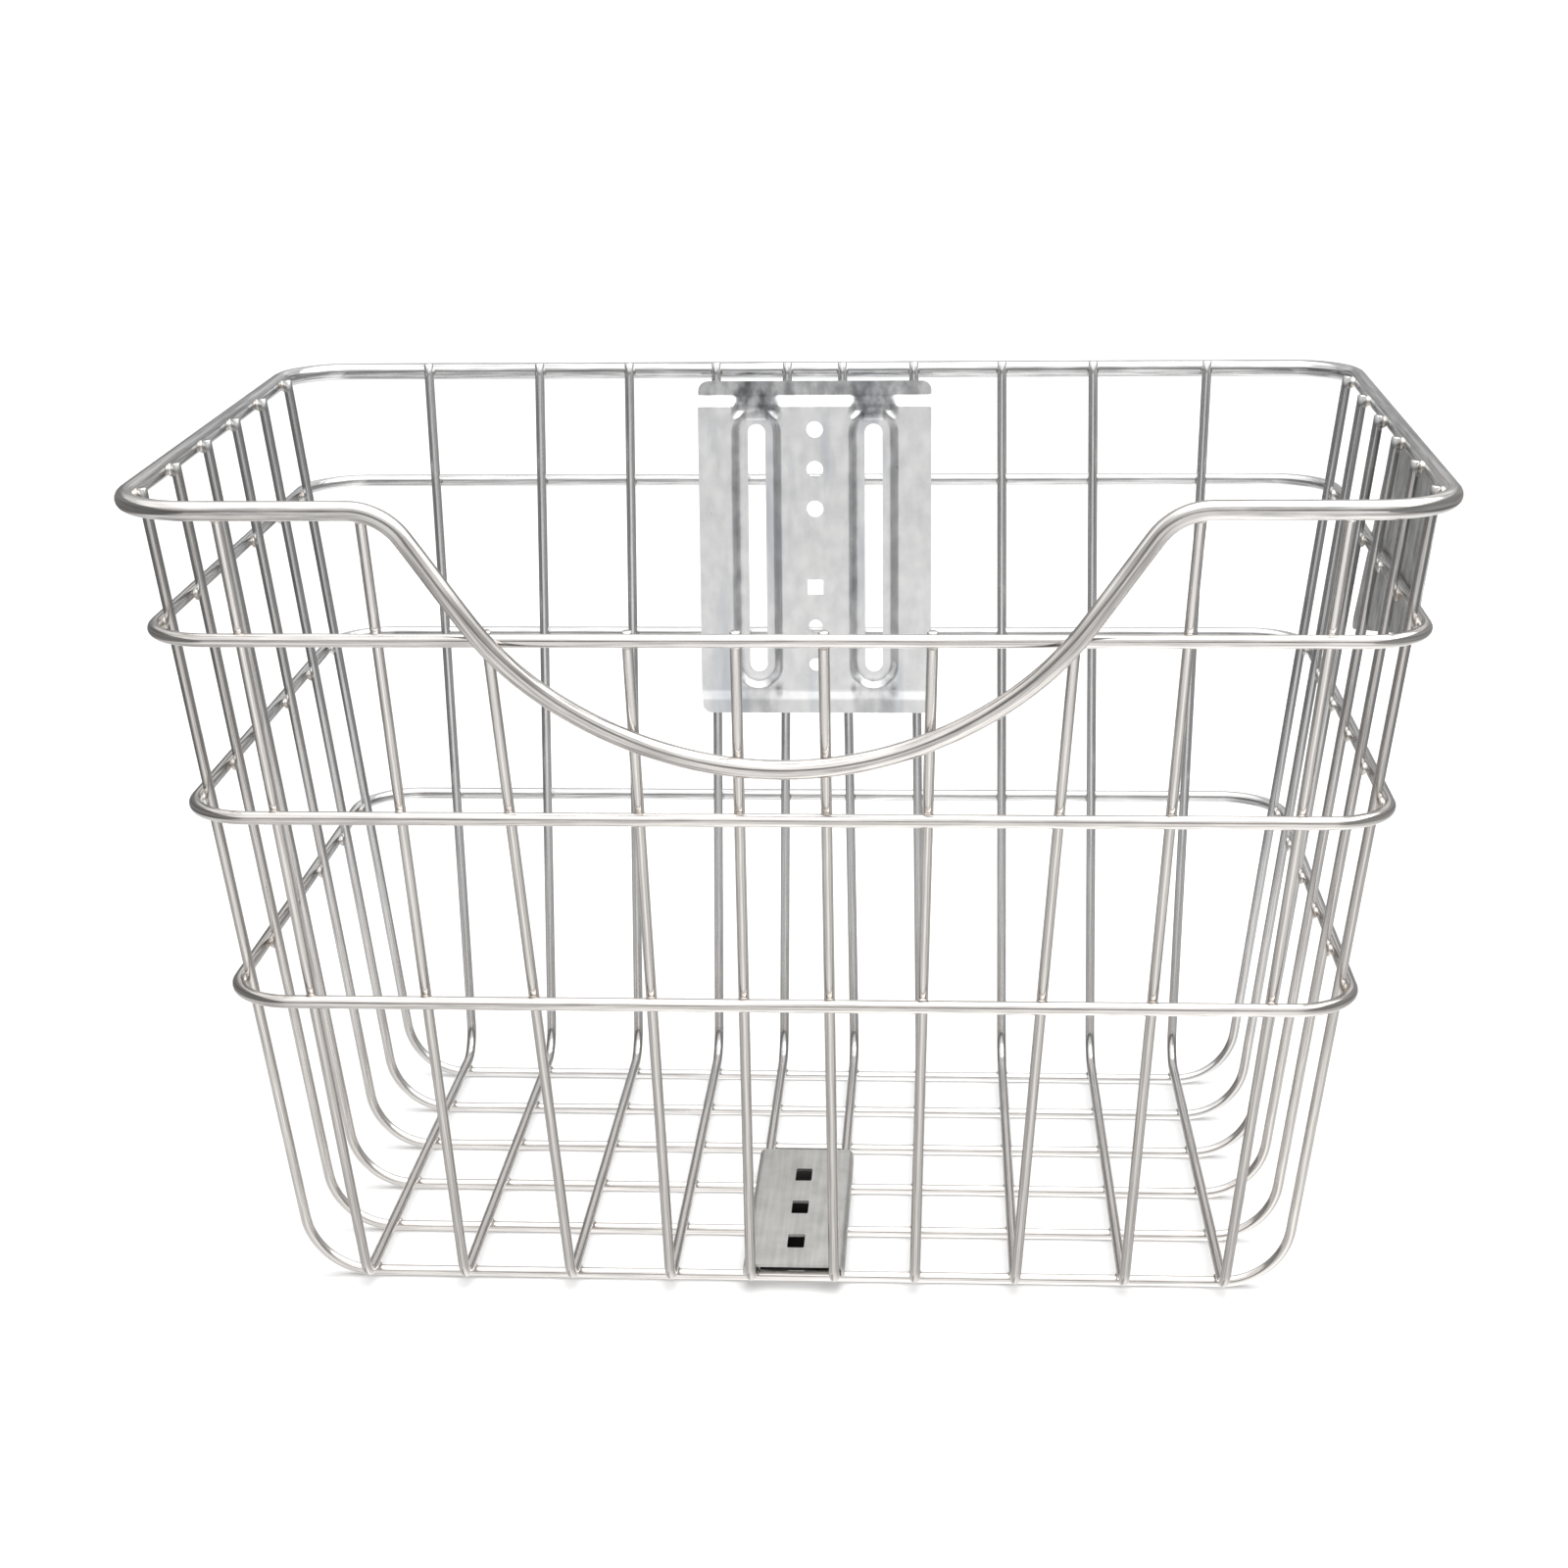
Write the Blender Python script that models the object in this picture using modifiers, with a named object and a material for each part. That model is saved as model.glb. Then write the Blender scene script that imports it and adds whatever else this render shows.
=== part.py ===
"""Handlebar bicycle basket of welded stainless wire, with three pressed steel plates.

Metres, +Z up, +X to the basket's own left-to-right width, +Y towards the bicycle.
Ten lengthwise wires run down the front wall, along the floor and up the back wall.
Six crosswise wires run down one side wall, under the floor and up the other.
Three rings and a thicker rim go round the outside of that grid.
Every weld is left as a gap of WELD_GAP between the pieces that it joins.
"""

import math

import bmesh
import bpy
from mathutils import Matrix, Quaternion, Vector

# Wire stock
RIM_WIRE = 0.0060
RING_WIRE = 0.0042
GRID_WIRE = 0.0034
WELD_GAP = 0.0003

# Walls: where the centres of the grid wires lie at floor level, and how far the walls lean out
FLOOR_HALF_DEPTH = 0.0940
FLOOR_HALF_WIDTH = 0.1558
END_LEAN = math.tan(math.radians(4.6))
SIDE_LEAN = math.tan(math.radians(7.4))
FLOOR_TAPER = math.tan(math.radians(1.3))
RIM_TAPER = math.tan(math.radians(0.8))

# Heights: the rim's centre above the floor, and the rings' centres below the rim
RIM_HEIGHT = 0.2650
UPPER_RING_DROP = 0.0400
MIDDLE_RING_DROP = 0.0970
LOWER_RING_DROP = 0.1590
BACK_END_OVER_RIM = 0.0035
SIDE_END_OVER_RIM = 0.0020
FRONT_END_OVER_RIM = 0.0010
FRONT_END_OVER_RING = 0.0020

# Corners of the rings and of the rim, on the wire's centre line
RING_FRONT_CORNER = 0.020
RIM_FRONT_CORNER = 0.025
BACK_CORNER = 0.022

# Dip in the front of the rim
DIP_OVER_MIDDLE_RING = 0.0165
DIP_SLOPE = math.radians(54)
DIP_HALF_WIDTH = 0.1153
DIP_SHOULDER_RADIUS = 0.020

# Lengthwise wires, in pairs from the outside in
CENTRE_PAIR_FLOOR = 0.0135
CENTRE_PAIR_FRONT_TOP = 0.0130
CENTRE_PAIR_BACK_TOP = 0.0100
OUTER_PAIR_FLOOR_CLEARANCE = 0.0004
OUTER_PAIR_FRONT_CLEARANCE = 0.0066
OUTER_PAIR_BACK_CLEARANCE = 0.0251
FLOOR_SPREAD = (1.0, 0.745, 0.466, 0.208, 0.0)
FRONT_TOP_SPREAD = (1.0, 0.719, 0.505, 0.218, 0.0)
BACK_TOP_SPREAD = (1.0, 0.689, 0.439, 0.197, 0.0)
FRONT_BEND = 0.0055
BACK_BEND = 0.0120

# Crosswise wires
CROSSWISE_COUNT = 6
CROSSWISE_BEND = 0.0220
FIRST_FLOOR_INSET = 0.0110
LAST_FLOOR_INSET = 0.0120
FIRST_TOP_CLEARANCE = -0.0012
LAST_TOP_CLEARANCE = 0.0075

# Mounting plate: pressed sheet against the inside of the back wall
PLATE_SHEET = 0.0016
PLATE_WIDTH = 0.0850
PLATE_TOP_DROP = 0.0030
PLATE_HEIGHT = 0.1230
PLATE_OFFSET = 0.0030
PLATE_FLANGE = 0.0048
PLATE_JOGGLE = 0.0043
PLATE_TOP_CHAMFER = 0.0035
PLATE_LOWER_CORNER = 0.0035
CHANNEL_SPACING = 0.0428
CHANNEL_WIDTH = 0.0180
CHANNEL_DEPTH = 0.0028
CHANNEL_MARGIN = 0.0006
SLOT_WIDTH = 0.0065
HOLE_DIAMETER = 0.0062
SMALL_HOLE_DIAMETER = 0.0050
SQUARE_HOLE = 0.0058
HOLE_PITCH = 0.0145
TOP_HOLE_DROP = 0.0173
HOLE_ROWS = (0, 1, 2)
SQUARE_HOLE_ROW = 4
SMALL_HOLE_ROWS = (5, 6)

# Floor plate: a shallow inverted channel that caps the centre pair of wires
FLOOR_PLATE_SHEET = 0.0010
FLOOR_PLATE_LENGTH = 0.0890
FLOOR_PLATE_INSET = 0.0055
FLOOR_PLATE_BEND = 0.0022
FLOOR_HOLE_WIDTH = 0.0056
FLOOR_HOLE_LENGTH = 0.0098
FLOOR_HOLE_COUNT = 3
FLOOR_HOLE_PITCH = 0.0255
FLOOR_HOLE_FIRST = 0.0172

# Side plate: a blank four-sided sheet outside the upper ring, under the rim
SIDE_SHEET = 0.0010
SIDE_PLATE_INSET = 0.0460
SIDE_PLATE_TOP = 0.0900
SIDE_PLATE_BOTTOM = 0.1030
SIDE_PLATE_FRONT = 0.0460
SIDE_PLATE_BACK = 0.0710
SIDE_PLATE_CORNER = 0.0030

# Fineness of the shapes: sag is how far a straight stretch cuts inside its arc
ARC_SAG = 0.00017
BOW_STEP = 0.008
HOLE_SIDES = 24
CUT_MARGIN = 0.004

# Sizes that follow from the ones above
CROSSWISE_Z = GRID_WIRE / 2
LENGTHWISE_Z = 1.5 * GRID_WIRE + WELD_GAP
RING_OUT = (GRID_WIRE + RING_WIRE) / 2 + WELD_GAP
RIM_OUT = (GRID_WIRE + RIM_WIRE) / 2 + WELD_GAP
RIM_OUT_AT_RING = RING_OUT + (RING_WIRE + RIM_WIRE) / 2 + WELD_GAP
UPPER_RING_Z = RIM_HEIGHT - UPPER_RING_DROP
DIP_DEPTH = MIDDLE_RING_DROP - DIP_OVER_MIDDLE_RING
DIP_CORNER_DROP = DIP_HALF_WIDTH * math.tan(DIP_SLOPE)
DIP_BOWL_RADIUS = (DIP_CORNER_DROP - DIP_DEPTH) / (1 / math.cos(DIP_SLOPE) - 1)


def remove_scene_objects():
    """Empty the scene before building."""
    for thing in list(bpy.data.objects):
        bpy.data.objects.remove(thing, do_unlink=True)


def new_collection(name):
    """Collection of this name, linked to the scene."""
    collection = bpy.data.collections.new(name)
    bpy.context.scene.collection.children.link(collection)
    return collection


def metal(name, colour, roughness):
    """Bare metal of one colour."""
    material = bpy.data.materials.new(name)
    material.use_nodes = True
    shader = material.node_tree.nodes["Principled BSDF"]
    shader.inputs["Base Color"].default_value = (*colour, 1.0)
    shader.inputs["Metallic"].default_value = 1.0
    shader.inputs["Roughness"].default_value = roughness
    material.diffuse_color = (*colour, 1.0)
    return material


# Wall surfaces, measured at the centres of the grid wires, and outwards from them

def taper(z):
    """How much each side wall closes in towards the back at this height, per unit of depth."""
    return FLOOR_TAPER + (RIM_TAPER - FLOOR_TAPER) * z / RIM_HEIGHT


def side_x(y, z, out=0.0):
    """Half width of the grid at this depth and height, or of a line that far outside it."""
    return FLOOR_HALF_WIDTH + SIDE_LEAN * z - taper(z) * y + out * math.hypot(1.0, SIDE_LEAN)


def end_y(z, out=0.0):
    """Half depth of the grid at this height, or of a line that far outside it."""
    return FLOOR_HALF_DEPTH + END_LEAN * z + out * math.hypot(1.0, END_LEAN)


# Paths

def rounded(corners, radii):
    """Path through the corners, each replaced by an arc of its radius; radius 0 keeps it sharp."""
    path = []
    for index, (corner, radius) in enumerate(zip(corners, radii)):
        if radius == 0:
            path.append(corner.copy())
            continue
        before = (corners[index - 1] - corner).normalized()
        after = (corners[(index + 1) % len(corners)] - corner).normalized()
        half = before.angle(after) / 2
        turn = math.pi - 2 * half
        centre = corner + (before + after).normalized() * radius / math.sin(half)
        first = corner + before * radius / math.tan(half) - centre
        last = corner + after * radius / math.tan(half) - centre
        axis = first.cross(last).normalized()
        count = max(2, math.ceil(turn / (2 * math.acos(1 - ARC_SAG / radius))))
        for place in range(count + 1):
            path.append(centre + Quaternion(axis, turn * place / count) @ first)
    return path


def divided(path, longest):
    """Closed path whose rising and falling runs are split into stretches of at most this length."""
    result = []
    for index, start in enumerate(path):
        end = path[(index + 1) % len(path)]
        result.append(start)
        level = abs(end.z - start.z) < WELD_GAP
        pieces = 1 if level else math.ceil((end - start).length / longest)
        for place in range(1, pieces):
            result.append(start.lerp(end, place / pieces))
    return result


def loop_corners(z, out):
    """Four corners, in plan, of a closed wire that lies this far outside the grid."""
    front = -end_y(z, out)
    back = end_y(z, out)
    return [
        Vector((-side_x(back, z, out), back, z)),
        Vector((side_x(back, z, out), back, z)),
        Vector((side_x(front, z, out), front, z)),
        Vector((-side_x(front, z, out), front, z)),
    ]


def ring_path(z):
    """Centre line of a ring."""
    radii = (BACK_CORNER, BACK_CORNER, RING_FRONT_CORNER, RING_FRONT_CORNER)
    return rounded(loop_corners(z, RING_OUT), radii)


def rim_front_z(x):
    """Height of the rim's centre line in the front wall, this far from the middle."""
    x = abs(x)
    bowl_end = DIP_BOWL_RADIUS * math.sin(DIP_SLOPE)
    shoulder_end = DIP_HALF_WIDTH + DIP_SHOULDER_RADIUS * math.tan(DIP_SLOPE / 2)
    shoulder_start = shoulder_end - DIP_SHOULDER_RADIUS * math.sin(DIP_SLOPE)
    if x >= shoulder_end:
        return RIM_HEIGHT
    if x >= shoulder_start:
        reach = shoulder_end - x
        return RIM_HEIGHT - DIP_SHOULDER_RADIUS + math.sqrt(DIP_SHOULDER_RADIUS**2 - reach**2)
    if x >= bowl_end:
        return RIM_HEIGHT - DIP_CORNER_DROP + x * math.tan(DIP_SLOPE)
    return RIM_HEIGHT - DIP_DEPTH + DIP_BOWL_RADIUS - math.sqrt(DIP_BOWL_RADIUS**2 - x**2)


def bow(z):
    """How far the dip swells outwards at this height, so that it passes in front of the ring."""
    rise = z - UPPER_RING_Z
    span = UPPER_RING_DROP if rise > 0 else DIP_DEPTH - UPPER_RING_DROP
    if abs(rise) >= span:
        return 0.0
    return (RIM_OUT_AT_RING - RIM_OUT) * math.cos(math.pi / 2 * rise / span) ** 2


def rim_path():
    """Centre line of the rim, with the dip in its front stretch."""
    back_left, back_right, front_right, front_left = loop_corners(RIM_HEIGHT, RIM_OUT)
    low_z = RIM_HEIGHT - DIP_CORNER_DROP
    corners = [
        back_left,
        back_right,
        front_right,
        Vector((DIP_HALF_WIDTH, front_right.y, RIM_HEIGHT)),
        Vector((0.0, -end_y(low_z, RIM_OUT), low_z)),
        Vector((-DIP_HALF_WIDTH, front_left.y, RIM_HEIGHT)),
        front_left,
    ]
    radii = (
        BACK_CORNER,
        BACK_CORNER,
        RIM_FRONT_CORNER,
        DIP_SHOULDER_RADIUS,
        DIP_BOWL_RADIUS,
        DIP_SHOULDER_RADIUS,
        RIM_FRONT_CORNER,
    )
    path = divided(rounded(corners, radii), BOW_STEP)
    for point in path:
        point.y -= bow(point.z) * math.hypot(1.0, END_LEAN)
    return path


def spread(outer, centre, shares):
    """Places between the centre pair and the outer pair of wires."""
    return [centre + share * (outer - centre) for share in shares]


def lengthwise_path(pair, side):
    """Centre line of one lengthwise wire: front wall, floor and back wall."""
    bend_trim = CROSSWISE_BEND * math.tan((math.pi / 2 - math.atan(SIDE_LEAN)) / 2)
    floor_inset = bend_trim + OUTER_PAIR_FLOOR_CLEARANCE
    floor_y = end_y(LENGTHWISE_Z)
    top_z = RIM_HEIGHT + BACK_END_OVER_RIM
    rim_y = end_y(RIM_HEIGHT, RIM_OUT)

    front_floor_outer = side_x(-floor_y, CROSSWISE_Z) - floor_inset
    back_floor_outer = side_x(floor_y, CROSSWISE_Z) - floor_inset
    rim_side = side_x(-rim_y, RIM_HEIGHT, RIM_OUT)
    front_outer = rim_side - RIM_FRONT_CORNER - OUTER_PAIR_FRONT_CLEARANCE
    back_outer = side_x(end_y(top_z), top_z) - BACK_CORNER - OUTER_PAIR_BACK_CLEARANCE

    front_floor_x = spread(front_floor_outer, CENTRE_PAIR_FLOOR, FLOOR_SPREAD)[pair]
    back_floor_x = spread(back_floor_outer, CENTRE_PAIR_FLOOR, FLOOR_SPREAD)[pair]
    front_x = spread(front_outer, CENTRE_PAIR_FRONT_TOP, FRONT_TOP_SPREAD)[pair]
    back_x = spread(back_outer, CENTRE_PAIR_BACK_TOP, BACK_TOP_SPREAD)[pair]

    fan = (front_x - front_floor_x) / (RIM_HEIGHT - LENGTHWISE_Z)
    front_z = UPPER_RING_Z + FRONT_END_OVER_RING
    if rim_front_z(front_x) - UPPER_RING_Z > RIM_WIRE + RING_WIRE:
        front_z = rim_front_z(front_x) + FRONT_END_OVER_RIM
    front_end_x = front_floor_x + fan * (front_z - LENGTHWISE_Z)

    corners = [
        Vector((side * front_end_x, -end_y(front_z), front_z)),
        Vector((side * front_floor_x, -floor_y, LENGTHWISE_Z)),
        Vector((side * back_floor_x, floor_y, LENGTHWISE_Z)),
        Vector((side * back_x, end_y(top_z), top_z)),
    ]
    return rounded(corners, (0, FRONT_BEND, BACK_BEND, 0))


def crosswise_path(index):
    """Centre line of one crosswise wire: side wall, floor and side wall."""
    share = index / (CROSSWISE_COUNT - 1)
    top_z = RIM_HEIGHT + SIDE_END_OVER_RIM
    floor_first = -FLOOR_HALF_DEPTH + FIRST_FLOOR_INSET
    floor_last = FLOOR_HALF_DEPTH - LAST_FLOOR_INSET
    rim_y = end_y(RIM_HEIGHT, RIM_OUT)
    top_first = -rim_y + RIM_FRONT_CORNER + FIRST_TOP_CLEARANCE
    top_last = rim_y - BACK_CORNER - LAST_TOP_CLEARANCE
    floor_y = floor_first + share * (floor_last - floor_first)
    top_y = top_first + share * (top_last - top_first)
    top_x = side_x(top_y, top_z)
    floor_x = side_x(floor_y, CROSSWISE_Z)
    corners = [
        Vector((-top_x, top_y, top_z)),
        Vector((-floor_x, floor_y, CROSSWISE_Z)),
        Vector((floor_x, floor_y, CROSSWISE_Z)),
        Vector((top_x, top_y, top_z)),
    ]
    return rounded(corners, (0, CROSSWISE_BEND, CROSSWISE_BEND, 0))


# Pieces

def wire(name, path, diameter, material, closed=False):
    """Round wire along a path."""
    curve = bpy.data.curves.new(name, "CURVE")
    curve.dimensions = "3D"
    curve.bevel_depth = diameter / 2
    curve.bevel_resolution = 2
    curve.use_fill_caps = True
    spline = curve.splines.new("POLY")
    spline.points.add(len(path) - 1)
    for point, place in zip(spline.points, path):
        point.co = (*place, 1.0)
    spline.use_cyclic_u = closed
    spline.use_smooth = True
    curve.materials.append(material)
    thing = bpy.data.objects.new(name, curve)
    parts.objects.link(thing)
    thing.parent = frame
    return thing


def mesh_object(name, shape, collection, place, material=None):
    """Object made of a bmesh, in its own frame."""
    mesh = bpy.data.meshes.new(name)
    if not any(edge.is_boundary for edge in shape.edges):
        bmesh.ops.recalc_face_normals(shape, faces=shape.faces)
    shape.to_mesh(mesh)
    shape.free()
    if material is not None:
        mesh.materials.append(material)
    thing = bpy.data.objects.new(name, mesh)
    collection.objects.link(thing)
    thing.parent = frame
    thing.matrix_parent_inverse = Matrix.Identity(4)
    thing.matrix_basis = place
    return thing


def as_cutter(thing):
    """Keep a cutter out of the model."""
    thing.hide_render = True
    thing.display_type = "WIRE"


def flat_prism(outline, low, high):
    """Prism between two levels over a flat outline in the XY plane."""
    shape = bmesh.new()
    rim = [shape.verts.new((point.x, point.y, low)) for point in outline]
    floor = shape.faces.new(rim)
    lifted = bmesh.ops.extrude_face_region(shape, geom=[floor])
    top = [item for item in lifted["geom"] if isinstance(item, bmesh.types.BMVert)]
    bmesh.ops.translate(shape, verts=top, vec=(0, 0, high - low))
    return shape


def rectangle(width, height, centre):
    """Four corners of an upright rectangle in the XY plane, counted anticlockwise."""
    half = Vector((width / 2, height / 2, 0))
    return [
        centre + Vector((half.x, half.y, 0)),
        centre + Vector((-half.x, half.y, 0)),
        centre + Vector((-half.x, -half.y, 0)),
        centre + Vector((half.x, -half.y, 0)),
    ]


def add_oblong(shape, centre, radius_low, radius_high, length, low, high):
    """Oblong plug, or a round one of length 0, whose radius may change from bottom to top."""
    half_turn = math.pi / HOLE_SIDES
    place = Matrix.Translation((centre.x, centre.y, (low + high) / 2)) @ Matrix.Rotation(half_turn, 4, "Z")
    grow = 1 / math.cos(half_turn)
    made = bmesh.ops.create_cone(
        shape,
        cap_ends=True,
        segments=HOLE_SIDES,
        radius1=radius_low * grow,
        radius2=radius_high * grow,
        depth=high - low,
        matrix=place,
    )
    for vertex in made["verts"]:
        vertex.co.y += math.copysign(length / 2, vertex.co.y - centre.y)


def boolean(thing, name, operation, other):
    """Exact Boolean modifier."""
    modifier = thing.modifiers.new(name, "BOOLEAN")
    modifier.operation = operation
    modifier.solver = "EXACT"
    modifier.object = other
    as_cutter(other)


def bent_strip(section, start, end):
    """Open surface swept straight along an axis from a section line."""
    shape = bmesh.new()
    near = [shape.verts.new(start + point) for point in section]
    edges = [shape.edges.new(pair) for pair in zip(near, near[1:])]
    swept = bmesh.ops.extrude_edge_only(shape, edges=edges)
    far = [item for item in swept["geom"] if isinstance(item, bmesh.types.BMVert)]
    bmesh.ops.translate(shape, verts=far, vec=end - start)
    return shape


def solidify(thing, thickness):
    """Give a sheet its thickness, on the side that its surface faces."""
    modifier = thing.modifiers.new("sheet", "SOLIDIFY")
    modifier.thickness = thickness
    modifier.offset = 1.0
    modifier.use_even_offset = True


def back_wall_frame():
    """Frame on the back wall: X across, Y up the wall, Z from the wires into the basket."""
    lean = math.atan(END_LEAN)
    across = Vector((1, 0, 0))
    up = Vector((0, math.sin(lean), math.cos(lean)))
    inwards = across.cross(up)
    turn = Matrix((across, up, inwards)).transposed().to_4x4()
    return Matrix.Translation((0, FLOOR_HALF_DEPTH, 0)) @ turn


def make_mounting_plate(material):
    """Tray-shaped plate with two slotted channels and a column of bolt holes."""
    place = back_wall_frame()
    slope = math.hypot(1.0, END_LEAN)
    top = (RIM_HEIGHT - PLATE_TOP_DROP) * slope
    bottom = top - PLATE_HEIGHT
    seat = GRID_WIRE / 2 + WELD_GAP
    panel = seat + PLATE_OFFSET
    panel_top = top - PLATE_FLANGE - PLATE_JOGGLE
    panel_bottom = bottom + PLATE_FLANGE + PLATE_JOGGLE
    section = [
        Vector((0, bottom, seat)),
        Vector((0, bottom + PLATE_FLANGE, seat)),
        Vector((0, panel_bottom, panel)),
        Vector((0, panel_top, panel)),
        Vector((0, top - PLATE_FLANGE, seat)),
        Vector((0, top, seat)),
    ]
    half = Vector((PLATE_WIDTH / 2, 0, 0))
    plate = mesh_object("mounting_plate", bent_strip(section, -half, half), parts, place, material)
    solidify(plate, PLATE_SHEET)

    middle = (panel_top + panel_bottom) / 2
    blank_middle = Vector((0, (top + bottom) / 2, 0))
    chamfer = [Vector((PLATE_TOP_CHAMFER, 0, 0)), Vector((0, PLATE_TOP_CHAMFER, 0))]
    corners = rectangle(PLATE_WIDTH, PLATE_HEIGHT, blank_middle)
    upper_right, upper_left, lower_left, lower_right = corners
    outline = [
        upper_right - chamfer[1],
        upper_right - chamfer[0],
        upper_left + chamfer[0],
        upper_left - chamfer[1],
        lower_left,
        lower_right,
    ]
    outline = rounded(outline, (0, 0, 0, 0, PLATE_LOWER_CORNER, PLATE_LOWER_CORNER))
    blank = mesh_object(
        "mounting_plate_blank", flat_prism(outline, 0, panel + CUT_MARGIN), cutters, place
    )
    boolean(plate, "blank", "INTERSECT", blank)

    channel_half = CHANNEL_WIDTH / 2
    channel_length = panel_top - panel_bottom - CHANNEL_WIDTH - 2 * CHANNEL_MARGIN
    floor_back = panel - CHANNEL_DEPTH
    floor_front = floor_back + PLATE_SHEET
    front = panel + PLATE_SHEET
    wall = PLATE_SHEET * math.sqrt(2)
    centres = [Vector((sign * CHANNEL_SPACING / 2, middle, 0)) for sign in (-1, 1)]

    bosses = bmesh.new()
    inside = panel + PLATE_SHEET / 2
    for centre in centres:
        wide = channel_half + inside - panel
        narrow = channel_half - CHANNEL_DEPTH
        add_oblong(bosses, centre, narrow, wide, channel_length, floor_back, inside)
    boss_object = mesh_object("mounting_plate_bosses", bosses, cutters, place)
    boolean(plate, "bosses", "UNION", boss_object)

    pockets = bmesh.new()
    for centre in centres:
        wide = channel_half - wall + PLATE_SHEET + CUT_MARGIN
        narrow = channel_half - wall - (CHANNEL_DEPTH - PLATE_SHEET)
        add_oblong(pockets, centre, narrow, wide, channel_length, floor_front, front + CUT_MARGIN)
    pocket_object = mesh_object("mounting_plate_pockets", pockets, cutters, place)
    boolean(plate, "pockets", "DIFFERENCE", pocket_object)

    holes = bmesh.new()
    for centre in centres:
        add_oblong(holes, centre, SLOT_WIDTH / 2, SLOT_WIDTH / 2, channel_length, 0, front + CUT_MARGIN)
    for rows, diameter in ((HOLE_ROWS, HOLE_DIAMETER), (SMALL_HOLE_ROWS, SMALL_HOLE_DIAMETER)):
        for row in rows:
            centre = Vector((0, top - TOP_HOLE_DROP - row * HOLE_PITCH, 0))
            add_oblong(holes, centre, diameter / 2, diameter / 2, 0, 0, front + CUT_MARGIN)
    hole_object = mesh_object("mounting_plate_holes", holes, cutters, place)
    boolean(plate, "holes", "DIFFERENCE", hole_object)

    square_centre = Vector((0, top - TOP_HOLE_DROP - SQUARE_HOLE_ROW * HOLE_PITCH, 0))
    square = flat_prism(rectangle(SQUARE_HOLE, SQUARE_HOLE, square_centre), 0, front + CUT_MARGIN)
    square_object = mesh_object("mounting_plate_square_hole", square, cutters, place)
    boolean(plate, "square_hole", "DIFFERENCE", square_object)
    return plate


def make_floor_plate(material):
    """Shallow inverted channel over the centre pair of lengthwise wires, with oblong holes."""
    half_width = CENTRE_PAIR_FLOOR + GRID_WIRE / 2 + WELD_GAP + FLOOR_PLATE_SHEET
    bottom = GRID_WIRE + WELD_GAP
    top = LENGTHWISE_Z + GRID_WIRE / 2 + WELD_GAP + FLOOR_PLATE_SHEET
    front = -FLOOR_HALF_DEPTH + FLOOR_PLATE_INSET
    corners = [
        Vector((-half_width, 0, bottom)),
        Vector((-half_width, 0, top)),
        Vector((half_width, 0, top)),
        Vector((half_width, 0, bottom)),
    ]
    section = rounded(corners, (0, FLOOR_PLATE_BEND, FLOOR_PLATE_BEND, 0))
    start = Vector((0, front, 0))
    end = start + Vector((0, FLOOR_PLATE_LENGTH, 0))
    place = Matrix.Identity(4)
    plate = mesh_object("floor_plate", bent_strip(section, start, end), parts, place, material)
    solidify(plate, FLOOR_PLATE_SHEET)

    for number in range(FLOOR_HOLE_COUNT):
        centre = Vector((0, front + FLOOR_HOLE_FIRST + number * FLOOR_HOLE_PITCH, 0))
        outline = rectangle(FLOOR_HOLE_WIDTH, FLOOR_HOLE_LENGTH, centre)
        shape = flat_prism(outline, bottom, top + CUT_MARGIN)
        cutter = mesh_object(f"floor_plate_hole_{number + 1}", shape, cutters, place)
        boolean(plate, f"hole_{number + 1}", "DIFFERENCE", cutter)
    return plate


def side_wall_frame(z):
    """Frame on the right wall at this height: X backwards, Y up the wall, Z outwards."""
    backwards = Vector((-taper(z), 1, 0)).normalized()
    up = Vector((SIDE_LEAN, 0, 1))
    up = (up - backwards * up.dot(backwards)).normalized()
    outwards = backwards.cross(up)
    front = -end_y(z)
    turn = Matrix((backwards, up, outwards)).transposed().to_4x4()
    return Matrix.Translation((side_x(front, z), front, z)) @ turn


def make_side_plate(material):
    """Blank sheet on the outside of the upper ring, in the front half of the right wall."""
    place = side_wall_frame(RIM_HEIGHT)
    top = -RIM_WIRE / 2 - WELD_GAP - SIDE_SHEET / 2
    inner = RING_OUT + RING_WIRE / 2 + WELD_GAP
    front = SIDE_PLATE_INSET
    corners = [
        Vector((front, top, 0)),
        Vector((front + SIDE_PLATE_TOP, top, 0)),
        Vector((front + SIDE_PLATE_BOTTOM, top - SIDE_PLATE_BACK, 0)),
        Vector((front, top - SIDE_PLATE_FRONT, 0)),
    ]
    outline = rounded(corners, [SIDE_PLATE_CORNER] * len(corners))
    shape = flat_prism(outline, inner, inner + SIDE_SHEET)
    return mesh_object("side_plate", shape, parts, place, material)


def stand_on_origin():
    """Move the whole basket so that its box stands centred on the origin."""
    bpy.context.view_layer.update()
    graph = bpy.context.evaluated_depsgraph_get()
    low = Vector((math.inf, math.inf, math.inf))
    high = -low
    for thing in parts.objects:
        evaluated = thing.evaluated_get(graph)
        mesh = evaluated.to_mesh()
        for vertex in mesh.vertices:
            place = evaluated.matrix_world @ vertex.co
            low = Vector(map(min, low, place))
            high = Vector(map(max, high, place))
        evaluated.to_mesh_clear()
    frame.location = (-(low.x + high.x) / 2, -(low.y + high.y) / 2, -low.z)
    bpy.context.view_layer.update()


remove_scene_objects()
parts = new_collection("bicycle_basket")
cutters = new_collection("bicycle_basket_cutters")
frame = bpy.data.objects.new("basket_frame", None)
bpy.context.scene.collection.objects.link(frame)

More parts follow.
